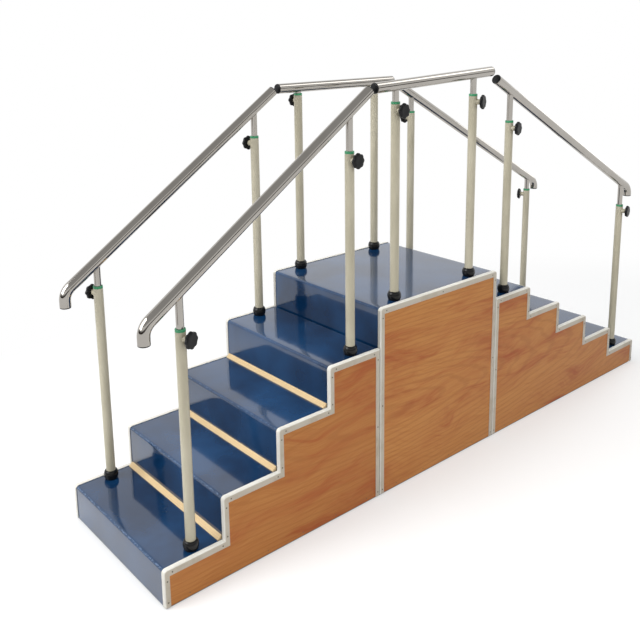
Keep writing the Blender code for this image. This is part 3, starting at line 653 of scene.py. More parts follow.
# Each unit's line, and the corner of it that stays square, against the platform.
LEFT_LEVELS = PLATFORM_HEIGHT - LEFT_RISER * np.arange(4, 0, -1)
RIGHT_LEVELS = PLATFORM_HEIGHT - RIGHT_RISER * np.arange(1, 6)
PLATFORM_LENGTH = PLATFORM_RIGHT_X - PLATFORM_LEFT_X
UNITS = {
    "left": (stepped(LEFT_END_X, LEFT_DEPTHS, LEFT_LEVELS), (8,)),
    "platform": (stepped(PLATFORM_LEFT_X, [PLATFORM_LENGTH], [PLATFORM_HEIGHT]), ()),
    "right": (stepped(RIGHT_START_X, RIGHT_DEPTHS, RIGHT_LEVELS), (1,)),
}
print({unit: len(line) for unit, (line, _) in UNITS.items()})

# %% [markdown]
# Where the line turns down over a nosing it is rounded. A corner could be beveled on the
# finished solid, but an arc in the line gives every piece the same, matching radius.

# %% Rounded nosings


def outer_corners(line):
    """True where the line turns down over a nosing: the cross product of its edges < 0."""
    edge = np.diff(line, axis=0)
    turn = edge[:-1, 0] * edge[1:, 1] - edge[:-1, 1] * edge[1:, 0]
    return np.concatenate([[False], turn < 0, [False]])


def rounded(line, radius, steps, square):
    """Swaps each outer corner for steps + 1 points: centre + radius * (cos, sin).

    Returns the points, the shift into the solid at each, and the corner that each
    came from, so a second line can be paired with it point by point. Corners in
    square stay as they are.
    """
    shift = into_solid(line)
    edge = np.diff(line, axis=0)
    outer = outer_corners(line)
    outer[list(square)] = False
    angle = np.linspace(0, np.pi / 2, steps + 1)
    points, shifts, source = [], [], []
    for index, is_outer in enumerate(outer):
        if not is_outer:
            points.append(line[index : index + 1])
            shifts.append(shift[index : index + 1])
            source.append([index])
            continue
        before = edge[index - 1] / np.linalg.norm(edge[index - 1])
        after = edge[index] / np.linalg.norm(edge[index])
        centre = line[index] + radius * (after - before)
        spoke = np.outer(np.cos(angle), -after) + np.outer(np.sin(angle), before)
        points.append(centre + radius * spoke)
        shifts.append(-spoke)
        source.append([index] * (steps + 1))
    return np.concatenate(points), np.concatenate(shifts), np.concatenate(source).astype(int)


print("nosings", {unit: int(outer_corners(line).sum()) for unit, (line, _) in UNITS.items()})

# %% [markdown]
# ## Covers
#
# A cover is a stepped board under one sheet of vinyl. Its section is an outline in X and
# Z, and the surface is that outline repeated at many places along Y. The sheet is pulled
# over a soft backing, so it swells by a fraction of a millimetre between its edges, which
# is what makes the mirror in the treads look alive. The swell is a sine along the tread
# times 1 - y^4 across it.

# %% Covers
NOSING_STEPS = 8
ACROSS = np.linspace(-1.0, 1.0, 41)
SWELL, SWELL_SPACING = 0.0006, 0.02


def even_points(points, shifts, longest):
    """Adds points along long straight stretches, each a weighted mean of the two ends.

    Returns the points, the direction in which each may swell, and the share of the
    swell there, sin(pi * share of the stretch).
    """
    parts, moves, swell = [], [], []
    for start, end, move in zip(points[:-1], points[1:], shifts[:-1]):
        count = max(1, int(np.linalg.norm(end - start) / longest))
        share = np.linspace(0, 1, count, endpoint=False)[:, None]
        parts.append(start + (end - start) * share)
        flat = np.abs(end - start) < MERGE_BELOW
        normal = np.where(flat, np.sign(move), 0.0)
        moves.append(np.repeat(normal[None], count, 0))
        swell.append(np.sin(np.pi * share[:, 0]) if count > 1 else np.zeros(1))
    parts.append(points[-1:])
    moves.append(shifts[-1:])
    swell.append(np.zeros(1))
    return np.concatenate(parts), np.concatenate(moves), np.concatenate(swell)


def cover_piece(unit):
    """Outline (top and under lines) carried along Y, with the swell added to its top.

    A flight has no riser against the platform, so its cover ends there in a plain cut.
    The number "nosing" is 1 - (distance from the nearest nosing's corner / radius)^2.
    """
    line, square = UNITS[unit]
    top_line = line + into_solid(line) * TRIM_STAND
    under = line + into_solid(line) * (TRIM_STAND + COVER_THICKNESS)
    top, shift, _ = rounded(top_line, NOSING_RADIUS, NOSING_STEPS, square)
    if unit == "left":
        top, shift = top[:-1], shift[:-1]
        under = np.concatenate([under[:-2], [[top[-1, 0], under[-2, 1]]]])
    if unit == "right":
        top, shift = top[1:], shift[1:]
        under = np.concatenate([[[top[0, 0], under[1, 1]]], under[2:]])
    top, shift, swell = even_points(top, shift, SWELL_SPACING)
    outline = np.concatenate([top, under[::-1]])
    lift = np.concatenate([-shift * swell[:, None], np.zeros_like(under)]) * SWELL
    points = outline[None] + lift[None] * (1 - ACROSS**4)[:, None, None]
    grid = carried_along_y(points, ACROSS * BOARD_OUTER_Y)
    piece = skin(f"vinyl_cover_{unit}", [grid], 40.0)
    nosings = top_line[outer_corners(top_line)]
    apart = np.abs(point_places(piece)[:, None, ::2] - nosings).max(axis=2).min(axis=1)
    mark_points(piece, "nosing", np.clip(1 - (apart / NOSING_RADIUS) ** 2, 0, 1))
    return dress(piece, "stairs", vinyl.material, [f"cover_{unit}"])


for unit in UNITS:
    piece = cover_piece(unit)
    print(piece.name, len(piece.data.polygons))

# %% [markdown]
# ## Corner strips
#
# Three beige strips cover the joint of tread and riser on the left flight. Each is a
# small extruded angle with fine grooves along it. The grooves are cut into the section,
# which is then carried along Y: a bump would vanish at a low angle.

# %% Corner strips
STRIP_ON_TREAD, STRIP_ON_RISER, STRIP_EDGE = 0.016, 0.014, 0.004
STRIP_REACH = LIP_INNER_Y - 0.006
GROOVE_DEPTH = 0.0012


def groove_at(share):
    """How deep in a groove a share of the face is, 0 to 1: two grooves of cos^2 shape."""
    inside = (share > 0.1) & (share < 0.9)
    return np.where(inside, np.clip(np.cos(share * np.pi * 3) ** 2 - 0.75, 0, 1) / 0.25, 0.0)


def strip_section(x, z):
    """Sloping face from the tread edge to the riser edge, pressed in by the grooves."""
    start = np.array([x - STRIP_ON_TREAD, z + STRIP_EDGE])
    end = np.array([x - STRIP_EDGE, z + STRIP_ON_RISER])
    share = np.linspace(0, 1, 49)
    slope = (end - start) / np.linalg.norm(end - start)
    pressed = np.outer(GROOVE_DEPTH * groove_at(share), [slope[1], -slope[0]])
    face = start + np.outer(share, end - start) + pressed
    sunk = STRIP_EDGE / 4
    back = [(x + sunk, z + STRIP_ON_RISER), (x + sunk, z - sunk), (x - STRIP_ON_TREAD, z - sunk)]
    return np.concatenate([face, back])


left_line = UNITS["left"][0]
surface = left_line + into_solid(left_line) * TRIM_STAND
for number, (x, z) in enumerate(surface[2:8:2], 1):
    grid = carried_along_y(strip_section(x, z), np.linspace(-STRIP_REACH, STRIP_REACH, 9))
    strip = skin(f"corner_strip_{number}", [grid], 50.0)
    up_face = (point_places(strip)[:, 2] - z - STRIP_EDGE) / (STRIP_ON_RISER - STRIP_EDGE)
    mark_points(strip, "groove", groove_at(up_face))
    dress(strip, "stairs", strip_beige.material)
    print(strip.name, len(strip.data.polygons))

# %% [markdown]
# ## Edge trims
#
# The trim is an L section with a rounded outer edge that catches a bright line of light.
# It could be a bevel on the solid, but a profile carried along the stepped line keeps
# the same edge at every corner. Each row of the grid is the line at one point of the
# profile: rows of the lip lie along the rounded line, and the side flange ends on a
# square line further in, so its points slide from one line to the other.

# %% Edge trims
TRIM_BESIDE_RISER, TRIM_UNDER_TREAD = 0.020, 0.024
FLANGE_WIDTH = np.array([TRIM_BESIDE_RISER, TRIM_UNDER_TREAD])
EDGE_ROUND, LIP_EASED, FLANGE_EASED = 0.0055, 0.0006, 0.0008
LIP_INNER_DEPTH, FLANGE_FLAT_SHARE = TRIM_THICKNESS * 0.9, 0.97
TRIM_STEPS = 8


def trim_piece(unit, side):
    """Rows = line + shift * depth at y; flange rows = the second, square line."""
    line, square = UNITS[unit]
    outer, shift, source = rounded(line, NOSING_RADIUS + TRIM_STAND, TRIM_STEPS, square)
    flange = (line + into_solid(line) * FLANGE_WIDTH)[source]
    quarter = np.linspace(0, np.pi / 2, 6)
    edge_y = TRIM_OUTER_Y - EDGE_ROUND + EDGE_ROUND * np.sin(quarter)
    edge_depth = EDGE_ROUND - EDGE_ROUND * np.cos(quarter)
    lip = [(LIP_INNER_Y, LIP_INNER_DEPTH), (LIP_INNER_Y, LIP_EASED)]
    lip += [(LIP_INNER_Y + LIP_EASED, 0.0), *zip(edge_y, edge_depth)]
    grid = [(outer + shift * depth, y) for y, depth in lip]
    grid.append((outer + (flange - outer) * FLANGE_FLAT_SHARE, TRIM_OUTER_Y))
    grid.append((flange, TRIM_OUTER_Y - FLANGE_EASED))
    grid.append((flange, TRIM_OUTER_Y - TRIM_THICKNESS))
    grid.append((outer + shift * TRIM_THICKNESS, TRIM_OUTER_Y - TRIM_THICKNESS))
    xz = np.stack([points for points, _ in grid], axis=1)
    y = np.broadcast_to(np.array([level for _, level in grid]), xz.shape[:2]) * SIDES[side]
    piece = skin(f"trim_{unit}_{side}", [np.stack([xz[..., 0], y, xz[..., 1]], axis=-1)], 30.0)
    return dress(piece, "stairs", trim.material, [f"edge_trim_{unit}_{side}"])


for unit in UNITS:
    for side in SIDES:
        piece = trim_piece(unit, side)
    print(piece.name, len(piece.data.polygons))

# %% [markdown]
# ## Screws and nails
#
# Small pan-head screws hold the trim: one on each flange either side of a corner, one
# near the foot of each upright stretch, and one in the middle of a long stretch. The
# panels are nailed along their lower edge. A screw from a catalogue would be far too fine
# for this, so one small turned head is placed many times: head points + places.

# %% Screws and nails
HEAD_RADIUS, HEAD_HEIGHT, HEAD_SIDES = 0.0028, 0.0010, 12
FOOT_REACH, TREAD_REACH, RISER_REACH = 0.017, 0.019, 0.026
SCREW_ACROSS, LONG_STRETCH = 0.55, 0.4
NAIL_FROM_LOW_X, NAIL_FROM_HIGH_X, NAIL_SPACING = 0.09, 0.06, 0.155
NAIL_LEVEL, NAIL_SIZE = BOARD_FOOT + 0.012, 0.7


def head_grid():
    """Domed head with a small dimple, turned from shares of its radius and height."""
    radius = np.array([0.0, 0.25, 0.32, 0.7, 0.93, 1.0]) * HEAD_RADIUS
    height = np.array([0.55, 0.55, 0.95, 0.80, 0.45, -0.3]) * HEAD_HEIGHT
    return turned(np.stack([radius, height], 1), HEAD_SIDES)


def screw_places(line):
    """Places in X and Z on both flanges beside every corner of a unit's line."""
    middle = line + into_solid(line) * FLANGE_WIDTH * SCREW_ACROSS
    places = []
    for index in range(len(line) - 1):
        start, end = middle[index], middle[index + 1]
        length = np.linalg.norm(end - start)
        reach = TREAD_REACH if abs(end[1] - start[1]) < MERGE_BELOW else RISER_REACH
        first = FOOT_REACH if index == 0 else reach
        last = length - (FOOT_REACH if index == len(line) - 2 else reach)
        share = np.linspace(first, last, 3 if length > LONG_STRETCH else 2) / length
        places.append(start + np.outer(share, end - start))
    return np.concatenate(places)


def heads(name, places, y, sign, scale):
    """One mesh of all heads, each turned to face its side: (x, z) + head, y outwards."""
    head = head_grid() * scale
    outwards = sign * (y + head[..., 2])
    grids = [np.stack([head[..., 0] + x, outwards, head[..., 1] + z], axis=-1) for x, z in places]
    return dress(skin(name, grids, 45.0), "stairs", screw_steel)


for side, sign in SIDES.items():
    for unit, (line, _) in UNITS.items():
        places = screw_places(line)
        screws = heads(f"trim_screws_{unit}_{side}", places, TRIM_OUTER_Y, sign, 1.0)
        first_x, last_x = line[0, 0] + NAIL_FROM_LOW_X, line[-1, 0] - NAIL_FROM_HIGH_X
        nail_x = np.arange(first_x, last_x, NAIL_SPACING)
        places = np.stack([nail_x, np.full(len(nail_x), NAIL_LEVEL)], 1)
        nails = heads(f"panel_nails_{unit}_{side}", places, BOARD_OUTER_Y, sign, NAIL_SIZE)
    print(screws.name, len(screws.data.polygons), nails.name, len(nails.data.polygons))

# %% [markdown]
# ## Posts, guide rings and collars
#
# A clamp sits on the side of each post, with its boss, stud and knob on one level line.
# The clamps aren't square to the stairs: each post is turned a little, its own way. Such a
# form could be turned with its object, but every piece keeps its object unturned, so it
# is made upright and its points are laid over.

# %% Clamp directions
TURN_DEGREES = {
    "left_low": (20, 5), "left_high": (5, 2), "platform_left": (4, -20),
    "platform_right": (20, 0), "right_high": (12, 0), "right_low": (12, 23),
}


def outward(place, side):
    """Unit direction of a post's clamp in plan: (sin t, -cos t) near, its opposite far."""
    turn = math.radians(TURN_DEGREES[place][0 if side == "near" else 1])
    return np.array([math.sin(turn), -math.cos(turn)]) * -SIDES[side]


def clamped(points, place, side):
    """Lays a form turned about Z along a post's clamp: z runs outward, x stays level."""
    x, y, z = post_axis(place, side)
    direction = outward(place, side)
    across = np.array([-direction[1], direction[0]])
    out = points[..., 2:] * direction + points[..., :1] * across
    level = points[..., 1:2] + (z + POST_HEIGHT - KNOB_BELOW_TOP)
    return np.concatenate([out + [x, y], level], axis=-1)


print("clamps", {place: outward(place, "near").round(2).tolist() for place in PLACES})

# %% [markdown]
# A post is a cream tube with a green plastic ring in its mouth, a rubber collar at its
# foot and a small boss for the clamp. All but the boss are turned about the post's axis:
# a cylinder would do for the tube, but the rims, the bush and the bulb need a profile.
# The boss is a second turned form, laid level, that starts inside the wall.

# %% Profiles of post, ring, collar and boss
BORE_DEPTH, BORE_FLOOR, RIM_EASED, POST_MIDDLE = 0.25, 0.010, 0.0004, 0.3
RING_SHOULDER, RING_ABOVE_RIM = 0.0016, 0.0001
COLLAR_LIP, COLLAR_CLEAR = 0.0030, 0.0002
BOSS_START, BOSS_END, BOSS_EASED = LEG_RADIUS + 0.0006, POST_RADIUS + BOSS_LENGTH, 0.0008


def post_profile():
    """Outside up to the ring, over the rim, and down inside the bore."""
    rim = POST_HEIGHT - RING_HEIGHT
    return [
        (0.0, 0.0), (POST_RADIUS, 0.0), (POST_RADIUS, POST_MIDDLE), (POST_RADIUS, rim - RIM_EASED),
        (POST_RADIUS - RIM_EASED, rim), (POST_BORE_RADIUS, rim),
        (POST_BORE_RADIUS, rim - BORE_DEPTH), (POST_BORE_RADIUS, BORE_FLOOR), (0.0, BORE_FLOOR),
    ]


def ring_profile():
    """A flanged bush: rounded top, thin lip outside, closed back on itself."""
    low, top = POST_HEIGHT - RING_HEIGHT + RING_ABOVE_RIM, POST_HEIGHT
    angle = np.linspace(0, np.pi / 2, 6)
    arc = np.stack([np.cos(angle), np.sin(angle)], 1)
    shoulder = [POST_RADIUS - RING_SHOULDER, top - RING_SHOULDER] + RING_SHOULDER * arc
    bore = [(RING_BORE_RADIUS + RIM_EASED, top), (RING_BORE_RADIUS, top - RIM_EASED)]
    bore.append((RING_BORE_RADIUS, low))
    return np.concatenate([[(POST_RADIUS, low)], shoulder, bore, [(POST_RADIUS, low)]])


def collar_profile():
    """Bulb: radius = ends + (bulge - ends) * sin(pi s) ** 0.7; ends runs to a thin lip."""
    inner = POST_RADIUS + COLLAR_CLEAR
    share = np.linspace(0, 1, 17)
    ends = COLLAR_FOOT_RADIUS + (inner + COLLAR_LIP - COLLAR_FOOT_RADIUS) * share
    outer = ends + (COLLAR_RADIUS - ends) * np.clip(np.sin(np.pi * share), 0, 1) ** 0.7
    wall = np.stack([outer, share * COLLAR_HEIGHT], 1)
    return np.concatenate([[(inner, 0.0)], wall, [(inner, COLLAR_HEIGHT), (inner, 0.0)]])


def boss_profile():
    """Drilled bar with an eased rim, from just clear of the leg out to the knob."""
    return [
        (STUD_HOLE_RADIUS, BOSS_START), (BOSS_RADIUS, BOSS_START),
        (BOSS_RADIUS, BOSS_END - BOSS_EASED), (BOSS_RADIUS - BOSS_EASED, BOSS_END),
        (STUD_HOLE_RADIUS, BOSS_END), (STUD_HOLE_RADIUS, BOSS_START),
    ]


profiles = (post_profile(), ring_profile(), collar_profile(), boss_profile())
print("points in each profile", [len(profile) for profile in profiles])

# %% [markdown]
# The forms are set on their places. Tube and boss are one welded part on the real post,
# so they are one piece here. The ring and the collar are pushed on, and have their own
# colours, so they are pieces of their own.

# %% Posts, guide rings and collars
POST_SIDES, COLLAR_SIDES, BOSS_SIDES = 48, 40, 24
for place in PLACES:
    for side in SIDES:
        foot = np.array(post_axis(place, side))
        tube = turned(post_profile(), POST_SIDES) + foot
        boss = clamped(turned(boss_profile(), BOSS_SIDES), place, side)
        post = skin(f"post_tube_{place}_{side}", [tube, boss], 40.0, capped=False)
        dress(post, "stairs", cream.material, [f"post_{place}_{side}"])
        bush = turned(ring_profile(), POST_SIDES) + foot
        ring = skin(f"guide_ring_{place}_{side}", [bush], 40.0, capped=False)
        dress(ring, "stairs", ring_green)
        bulb = turned(collar_profile(), COLLAR_SIDES) + foot
        collar = skin(f"foot_collar_{place}_{side}", [bulb], 50.0, capped=False)
        dress(collar, "stairs", rubber, [f"collar_{place}_{side}"])
print("posts", 2 * len(PLACES), "faces each", len(post.data.polygons))

# %% [markdown]
# ## Star knobs
#
# The moulded head has eight lobes, a domed face and hollows between the lobes that fade
# towards the middle. Eight cylinders could be joined, but their seams would show. Here
# radius is a function of the angle and height: the lobes are a cosine, and the profile
# scales them.

# %% Star knobs
KNOB_AROUND, STUD_SIDES = 96, 16
LOBE_DEPTH, KNOB_CLEAR = 0.0030, 0.0003
STUD_RADIUS, STUD_START, STUD_END = 0.004, POST_RADIUS + 0.0005, BOSS_END + 0.004


def knob_head():
    """radius(t, row) = profile(row) - depth(row) * (1 - cos(8 t)) / 2, at height(row)."""
    share = np.array([0.0, 0.30, 0.62, 0.84, 0.95, 1.0, 1.0, 1.0, 0.95, 0.86, 0.66, 0.40, 0.0])
    level = np.array([0.0, 0.0, 0.02, 0.05, 0.13, 0.28, 0.5, 0.72, 0.87, 0.95, 1.0, 0.96, 0.93])
    height = BOSS_END + KNOB_CLEAR + level * KNOB_HEAD_LENGTH
    turn = np.linspace(0, 2 * np.pi, KNOB_AROUND, endpoint=False)
    lobes = (1 - np.cos(KNOB_LOBES * turn)) / 2
    reach = share[:, None] * KNOB_RADIUS - LOBE_DEPTH * share[:, None] ** 3 * lobes
    out = np.broadcast_to(height[:, None], reach.shape)
    return np.stack([reach * np.cos(turn), reach * np.sin(turn), out], axis=-1)


STUD = [(0.0, STUD_START), (STUD_RADIUS, STUD_START), (STUD_RADIUS, STUD_END), (0.0, STUD_END)]
for place in PLACES:
    for side in SIDES:
        node = f"knob_{place}_{side}"
        star = clamped(knob_head(), place, side)
        head = skin(f"knob_head_{place}_{side}", [star], 50.0, capped=False)
        dress(head, node, plastic, [node])
        rod = clamped(turned(STUD, STUD_SIDES), place, side)
        stud = skin(f"knob_stud_{place}_{side}", [rod], 40.0, capped=False)
        dress(stud, node, screw_steel)
print("knobs", len(head.data.polygons), "faces each")

# %% [markdown]
# ## Handrails
#
# Each of the six handrails slides by itself, and they were photographed at different
# heights. The height could be typed in, but then it would have to be right twice. Here it
# follows from what holds the rail: its lowest place is a millimetre above the guide
# rings, and only the lift above that is given, the same one as in the solids.

# %% Where the handrails run
LEAST_GAP = 0.001
# Posts from low to high X; slope, and lift above the lowest place (near, far); X of the
# axis' two ends; and how far the low end is bent down.
RAILS = {
    "left": {
        "posts": ("left_low", "left_high"), "slopes": (0.69, 0.69), "lifts": (0.080, 0.049),
        "low_x": LEFT_END_X + 0.004, "top_x": PLATFORM_LEFT_X - 0.0105, "drop": 0.055,
    },
    "platform": {
        "posts": ("platform_left", "platform_right"), "slopes": (0.045, 0.0),
        "lifts": (0.036, 0.002),
        "low_x": PLATFORM_LEFT_X + 0.008, "top_x": PLATFORM_RIGHT_X - 0.020, "drop": 0.0,
    },
    "right": {
        "posts": ("right_high", "right_low"), "slopes": (-0.545, -0.545), "lifts": (0.080, 0.036),
        "low_x": RIGHT_END_X - 0.076, "top_x": PLATFORM_RIGHT_X + 0.0100, "drop": 0.042,
    },
}


def rail_axis(rail, side):
    """Slope, the legs' X, and a function for the axis height: level + slope * (x - first).

    The level is the lowest that both guide rings allow, plus the lift.
    """
    which = list(SIDES).index(side)
    slope, lift = rail["slopes"][which], rail["lifts"][which]
    clear = HANDRAIL_RADIUS * math.hypot(1, slope) + POST_RADIUS * abs(slope) + LEAST_GAP
    (first_x, _, z), (second_x, _, second_z) = [post_axis(place, side) for place in rail["posts"]]
    second_level = second_z + POST_HEIGHT + clear - slope * (second_x - first_x)
    level = max(z + POST_HEIGHT + clear, second_level) + lift
    return slope, (first_x, second_x), lambda x: level + slope * (x - first_x)


for unit, rail in RAILS.items():
    print(unit, "slopes", rail["slopes"], "lifts", rail["lifts"])

# %% [markdown]
# The real rail is one tube, bent at its low end so that nothing can catch there. It could
# be a curve object with a bevel, but its ends and its weld would still need mesh work.
# So the centre line is worked out as points, with the bend as an arc that touches the
# sloped run and the short upright one.

# %% Bent centre line
BEND_RADIUS, BEND_STEPS = 0.055, 32


def unit_vector(vector):
    """The direction alone."""
    return vector / np.linalg.norm(vector)


def centre_line(rail, height):
    """Straight run and arc in X and Z: the arc is tangent to both straight runs."""
    corner, top = [np.array([x, height(x)]) for x in (rail["low_x"], rail["top_x"])]
    if not rail["drop"]:
        return np.stack([corner, top])
    foot = corner - [0.0, rail["drop"]]
    into, out = (corner - foot) / rail["drop"], unit_vector(top - corner)
    turn = math.acos(into @ out)
    towards = (out - into * (into @ out)) / math.sin(turn)
    centre = corner - into * BEND_RADIUS * math.tan(turn / 2) + towards * BEND_RADIUS
    angle = np.linspace(0, turn, BEND_STEPS + 1)
    arc = centre + BEND_RADIUS * (np.outer(np.sin(angle), into) - np.outer(np.cos(angle), towards))
    line = np.concatenate([[foot], arc, [top]])
    return line if foot[0] < top[0] else line[::-1]


print("points in a bent line", len(centre_line(RAILS["left"], rail_axis(RAILS["left"], "near")[2])))

# %% [markdown]
# A circle is carried along the line. Its two directions are level Y and the normal of the
# line in the XZ plane, so it never twists. The black plugs in the ends are the same
# circle again, on a short line with a radius that changes.

# %% Tube and plugs
RAIL_SIDES = 48
PLUG_LENGTH, PLUG_INSET = 0.0045, 0.0005


def carried_circle(line, radius, y, sides):
    """Circle on every point: point + r (cos t normal + sin t Y)."""
    ahead = np.diff(line, axis=0)
    ahead /= np.linalg.norm(ahead, axis=1, keepdims=True)
    step = np.concatenate([ahead[:1], ahead[1:] + ahead[:-1], ahead[-1:]])
    step /= np.linalg.norm(step, axis=1, keepdims=True)
    normal = np.stack([-step[:, 1], step[:, 0]], 1)
    turn = np.linspace(0, 2 * np.pi, sides, endpoint=False)
    radius = np.broadcast_to(radius, len(line))[:, None]
    spot = line[:, None] + (radius * np.cos(turn))[..., None] * normal[:, None]
    return np.stack([spot[..., 0], y + radius * np.sin(turn), spot[..., 1]], axis=-1)


def tube_between_plugs(line, y):
    """The handrail's outside, shortened at both ends by the length of a plug."""
    body = line.copy()
    body[0] += unit_vector(line[1] - line[0]) * PLUG_LENGTH
    body[-1] += unit_vector(line[-2] - line[-1]) * PLUG_LENGTH
    return carried_circle(body, HANDRAIL_RADIUS, y, RAIL_SIDES)


def end_plug(end, neighbour, y):
    """Domed plug: radius and depth follow a quarter circle at the rim, then flatten."""
    depth = np.array([0.0, 0.0002, 0.0009, 0.0020, PLUG_LENGTH, PLUG_LENGTH + 0.002])
    edge = HANDRAIL_RADIUS - PLUG_INSET
    radius = edge - np.array([0.0045, 0.0020, 0.0007, 0.0, 0.0, 0.0004])
    line = end + np.outer(depth, unit_vector(neighbour - end))
    return carried_circle(line, radius, y, RAIL_SIDES)


print("plug", end_plug(np.zeros(2), np.array([1.0, 0.0]), 0.0).shape, "rows, columns, axes")

# %% [markdown]
# The legs are plain tubes that start inside the handrail, with a small weld bead where
# they meet it. The bead could be left out, but a leg that just ends in the tube looks
# glued on. The platform's far rail is level and comes down to a millimetre above the
# guide rings all round, so its beads are smaller.

# %% Legs and welds
LEG_SIDES, LEG_EASED, LEG_BELOW_AXIS, BEAD_SIDES = 36, 0.001, 0.005, 10
BEAD_RADIUS, BEAD_RADIUS_LEVEL = 0.0016, 0.0009


def leg_profile():
    """Plain tube with an eased foot, from the foot up to just inside the handrail."""
    return [
        (0.0, -LEG_LENGTH), (LEG_RADIUS - LEG_EASED, -LEG_LENGTH),
        (LEG_RADIUS, LEG_EASED - LEG_LENGTH), (LEG_RADIUS, -LEG_LENGTH / 2),
        (LEG_RADIUS, -LEG_BELOW_AXIS), (0.0, -LEG_BELOW_AXIS),
    ]


def weld_bead(x, y, level, slope):
    """Small ring along the line where leg and handrail meet.

    On the leg at angle t the handrail's underside is the axis height minus
    sqrt(R^2 - (r sin t)^2) / cos(slope angle); the bead is a circle about that line,
    and its size ripples as a hand-laid weld does.
    """
    around = np.linspace(0, 2 * np.pi, LEG_SIDES * 2, endpoint=False)
    ahead, side = LEG_RADIUS * np.cos(around), LEG_RADIUS * np.sin(around)
    under = level + slope * ahead - np.sqrt(HANDRAIL_RADIUS**2 - side**2) * math.hypot(1, slope)
    spot = np.stack([x + ahead, y + side, under], 1)
    tube = np.linspace(0, 2 * np.pi, BEAD_SIDES, endpoint=False)
    out = np.stack([np.cos(around), np.sin(around), np.zeros_like(around)], 1)
    size = (BEAD_RADIUS if slope else BEAD_RADIUS_LEVEL) * (1 + 0.10 * np.sin(around * 23))
    ring = out[:, None] * np.cos(tube)[None, :, None] * size[:, None, None]
    ring = ring + np.array([0, 0, 1.0]) * (np.sin(tube)[None, :, None] * size[:, None, None])
    grid = spot[:, None] + ring
    return np.concatenate([grid, grid[:1]])


for unit, rail in RAILS.items():
    for side in SIDES:
        slope, leg_xs, height = rail_axis(rail, side)
        y = post_axis(rail["posts"][0], side)[1]
        line = centre_line(rail, height)
        body = f"rail_{unit}_{side}"
        tube = skin(f"rail_tube_{unit}_{side}", [tube_between_plugs(line, y)], 40.0)
        dress(tube, body, steel.material, [f"handrail_{unit}_{side}"])
        ends = [end_plug(line[0], line[1], y), end_plug(line[-1], line[-2], y)]
        dress(skin(f"end_plugs_{unit}_{side}", ends, 50.0), body, plastic)
        legs = [turned(leg_profile(), LEG_SIDES) + [x, y, height(x)] for x in leg_xs]
        beads = [weld_bead(x, y, height(x), slope) for x in leg_xs]
        leg_tubes = skin(f"rail_legs_{unit}_{side}", legs, 40.0, capped=False)
        weld = skin(f"leg_welds_{unit}_{side}", beads, 80.0, capped=False)
        for piece in (leg_tubes, weld):
            dress(piece, body, steel.material)
    print(tube.name, "level", round(height(leg_xs[0]), 4), len(tube.data.polygons))

# %% [markdown]
# ## Panels and frames
#
# These solids are already the right shape: flat boards and square tube. They could be
# drawn again, but nothing would be won, so they keep their meshes and only get their
# finish.

# %% Panels and frames
KEPT = {"side_panel": wood.material, "inner_frame": frame_paint.material}
for name, item in nodes.items():
    for start, material in KEPT.items():
        if name.startswith(start):
            item.data.materials.clear()
            item.data.materials.append(material)
print("kept", [name for name in nodes if name.startswith(tuple(KEPT))])

# %% [markdown]
# ## Floor, backdrop and light
#
# The floor is a pale sheet that keeps the shadow of the stairs. Further out it turns to
# plain white for camera, mirror and glass rays. Near the stairs it keeps its own pale
# paint, and those rays get some white on top, so the stairs aren't lit by it. Under the
# boxes the floor is painted nearly black and gets no white: a painted shadow that shows
# as the dark line under the panels. The same white could come from brighter lamps, but
# they would wash out the stairs.

# %% Floor
FLOOR_REACH = 60.0
FOOTPRINT_X, FOOTPRINT_Y = (1.392, 1.400), (0.316, 0.322)
BLACK, WHITE = grey(0.0), grey(1.0)


def background_rays(graph):
    """1 for the rays that show the background: camera, mirror and glass rays."""
    kinds = [f"Is {kind} Ray" for kind in ("Camera", "Glossy", "Transmission")]
    looks = [graph.node("ShaderNodeLightPath", out=kind) for kind in kinds]
    return graph.node("ShaderNodeClamp", None, {0: looks[0] + looks[1] + looks[2]})


floor_mesh = bpy.data.meshes.new("studio_floor")
corner = np.array([(-1, -1, 0), (1, -1, 0), (1, 1, 0), (-1, 1, 0)]) * FLOOR_REACH
floor_mesh.from_pydata(corner.tolist(), [], [(0, 1, 2, 3)])
floor = add("studio_floor", floor_mesh)
plain_paper = {"Roughness": 0.9, "Specular IOR Level": 0.0, "Emission Strength": 1.0}
paper = Finish("studio floor", plain_paper)
round_stairs = paper.place((0.42, 0.70, 1.0))
from_stairs = paper.node(
    "ShaderNodeVectorMath", {"operation": "LENGTH"}, {0: round_stairs}, out="Value"
)
seen = background_rays(paper)
far_seen = from_stairs.step(0.85, 1.5) * seen
beyond_end = paper.axis("X").absolute().step(*FOOTPRINT_X)
open_floor = beyond_end.larger(paper.axis("Y").absolute().step(*FOOTPRINT_Y))
pale_sheet = paper.mix(paper.noise(paper.place(), 0.6, 2.0), grey(0.60), grey(0.62))
# Painted shadow: inside the footprint of the boxes the floor is nearly black and gets no glow.
sheet = paper.mix(open_floor, (0.05, 0.045, 0.04, 1.0), pale_sheet)
near_glow = paper.mix(open_floor, BLACK, grey(0.38))
paper.end(
    Base_Color=paper.mix(far_seen, sheet, BLACK),
    Emission_Color=paper.mix(seen, BLACK, paper.mix(far_seen, near_glow, WHITE)),
)
floor_mesh.materials.append(paper.material)
print("floor", floor.dimensions[0], "m")

# %% [markdown]
# The world is an even white for camera, mirror and glass rays and a soft grey for light.
# Polished tube under one even white looks like grey card. What makes it look like steel
# is a change of tone round it, so mirror rays that leave on the camera's side see a dark
# band, a bright band and a grey top, as a photographer's cards would give.

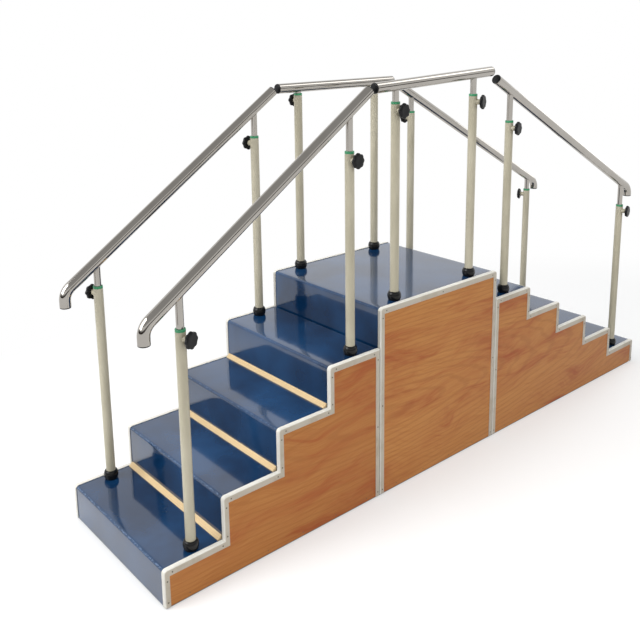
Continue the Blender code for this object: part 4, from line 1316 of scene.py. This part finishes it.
# %% World
world = bpy.data.worlds.new("studio")
bpy.context.scene.world = world
world.use_nodes = True
world.node_tree.nodes.clear()
studio = Graph(world.node_tree)
way = studio.node("ShaderNodeTexCoord", out="Generated")
east, north, up = [
    studio.node("ShaderNodeSeparateXYZ", None, {0: way}, out=name) for name in "XYZ"
]
bright_card = up.step(0.14, 0.26) * (1.0 - up.step(0.34, 0.50))
plain_cards = studio.mix(up.step(0.06, 0.22), (0.040, 0.033, 0.028, 1.0), grey(0.48))
cards = studio.mix(bright_card, plain_cards, WHITE)
towards_camera = east * -math.cos(CAMERA_YAW) + north * -math.sin(CAMERA_YAW)
at_cards = towards_camera.step(-0.25, 0.05).larger(up.step(0.62, 0.74))
mirror = studio.node("ShaderNodeLightPath", out="Is Glossy Ray")
plain_world = studio.mix(background_rays(studio), (0.40, 0.41, 0.42, 1.0), WHITE)
shown = studio.mix(mirror * at_cards, plain_world, cards)
sky = studio.node("ShaderNodeBackground", None, {"Color": shown, "Strength": 1.0})
studio.node("ShaderNodeOutputWorld", None, {"Surface": sky})
bpy.context.scene.view_settings.view_transform = "Standard"
print("world nodes", len(world.node_tree.nodes))

# %% [markdown]
# Five square lamps: a large one from the left, one above and one in front give the light,
# and two small ones on the right give the tubes there an edge. The two large ones that
# would show as wide white stripes in the tubes are hidden from mirror rays.

# %% Lamps
NEUTRAL, WARM = (1.0, 1.0, 1.0), (1.0, 0.99, 0.97)


def lamp(name, place, target, size, watts, colour, in_mirrors):
    """A square soft lamp at a place, aimed at a target."""
    data = bpy.data.lights.new(name, "AREA")
    data.shape = "SQUARE"
    data.size = size
    data.energy = watts
    data.color = colour
    item = add(name, data)
    item.visible_glossy = in_mirrors
    back = unit_vector(np.array(place, float) - np.array(target, float))
    side = unit_vector(np.cross([0.0, 0.0, 1.0], back))
    set_up(item, (side, np.cross(back, side), back), place)


lamp("left lamp", (-4.6, 1.2, 3.4), (0.0, 0.0, 0.6), 3.4, 185.0, NEUTRAL, True)
lamp("top lamp", (-0.4, 0.3, 5.0), (-0.2, 0.0, 0.0), 4.0, 112.0, WARM, False)
lamp("front lamp", (-1.6, -4.9, 2.4), (-0.2, 0.0, 0.5), 4.0, 92.0, WARM, False)
lamp("right upper lamp", (2.6, -1.0, 4.4), (-0.1, -0.3, 1.5), 1.6, 18.0, NEUTRAL, True)
lamp("right lower lamp", (5.6, 0.5, 1.9), (0.7, 0.0, 1.3), 1.3, 11.0, NEUTRAL, True)

# %% [markdown]
# ## The solids' box
#
# The dressed model must stay inside the solids' box.
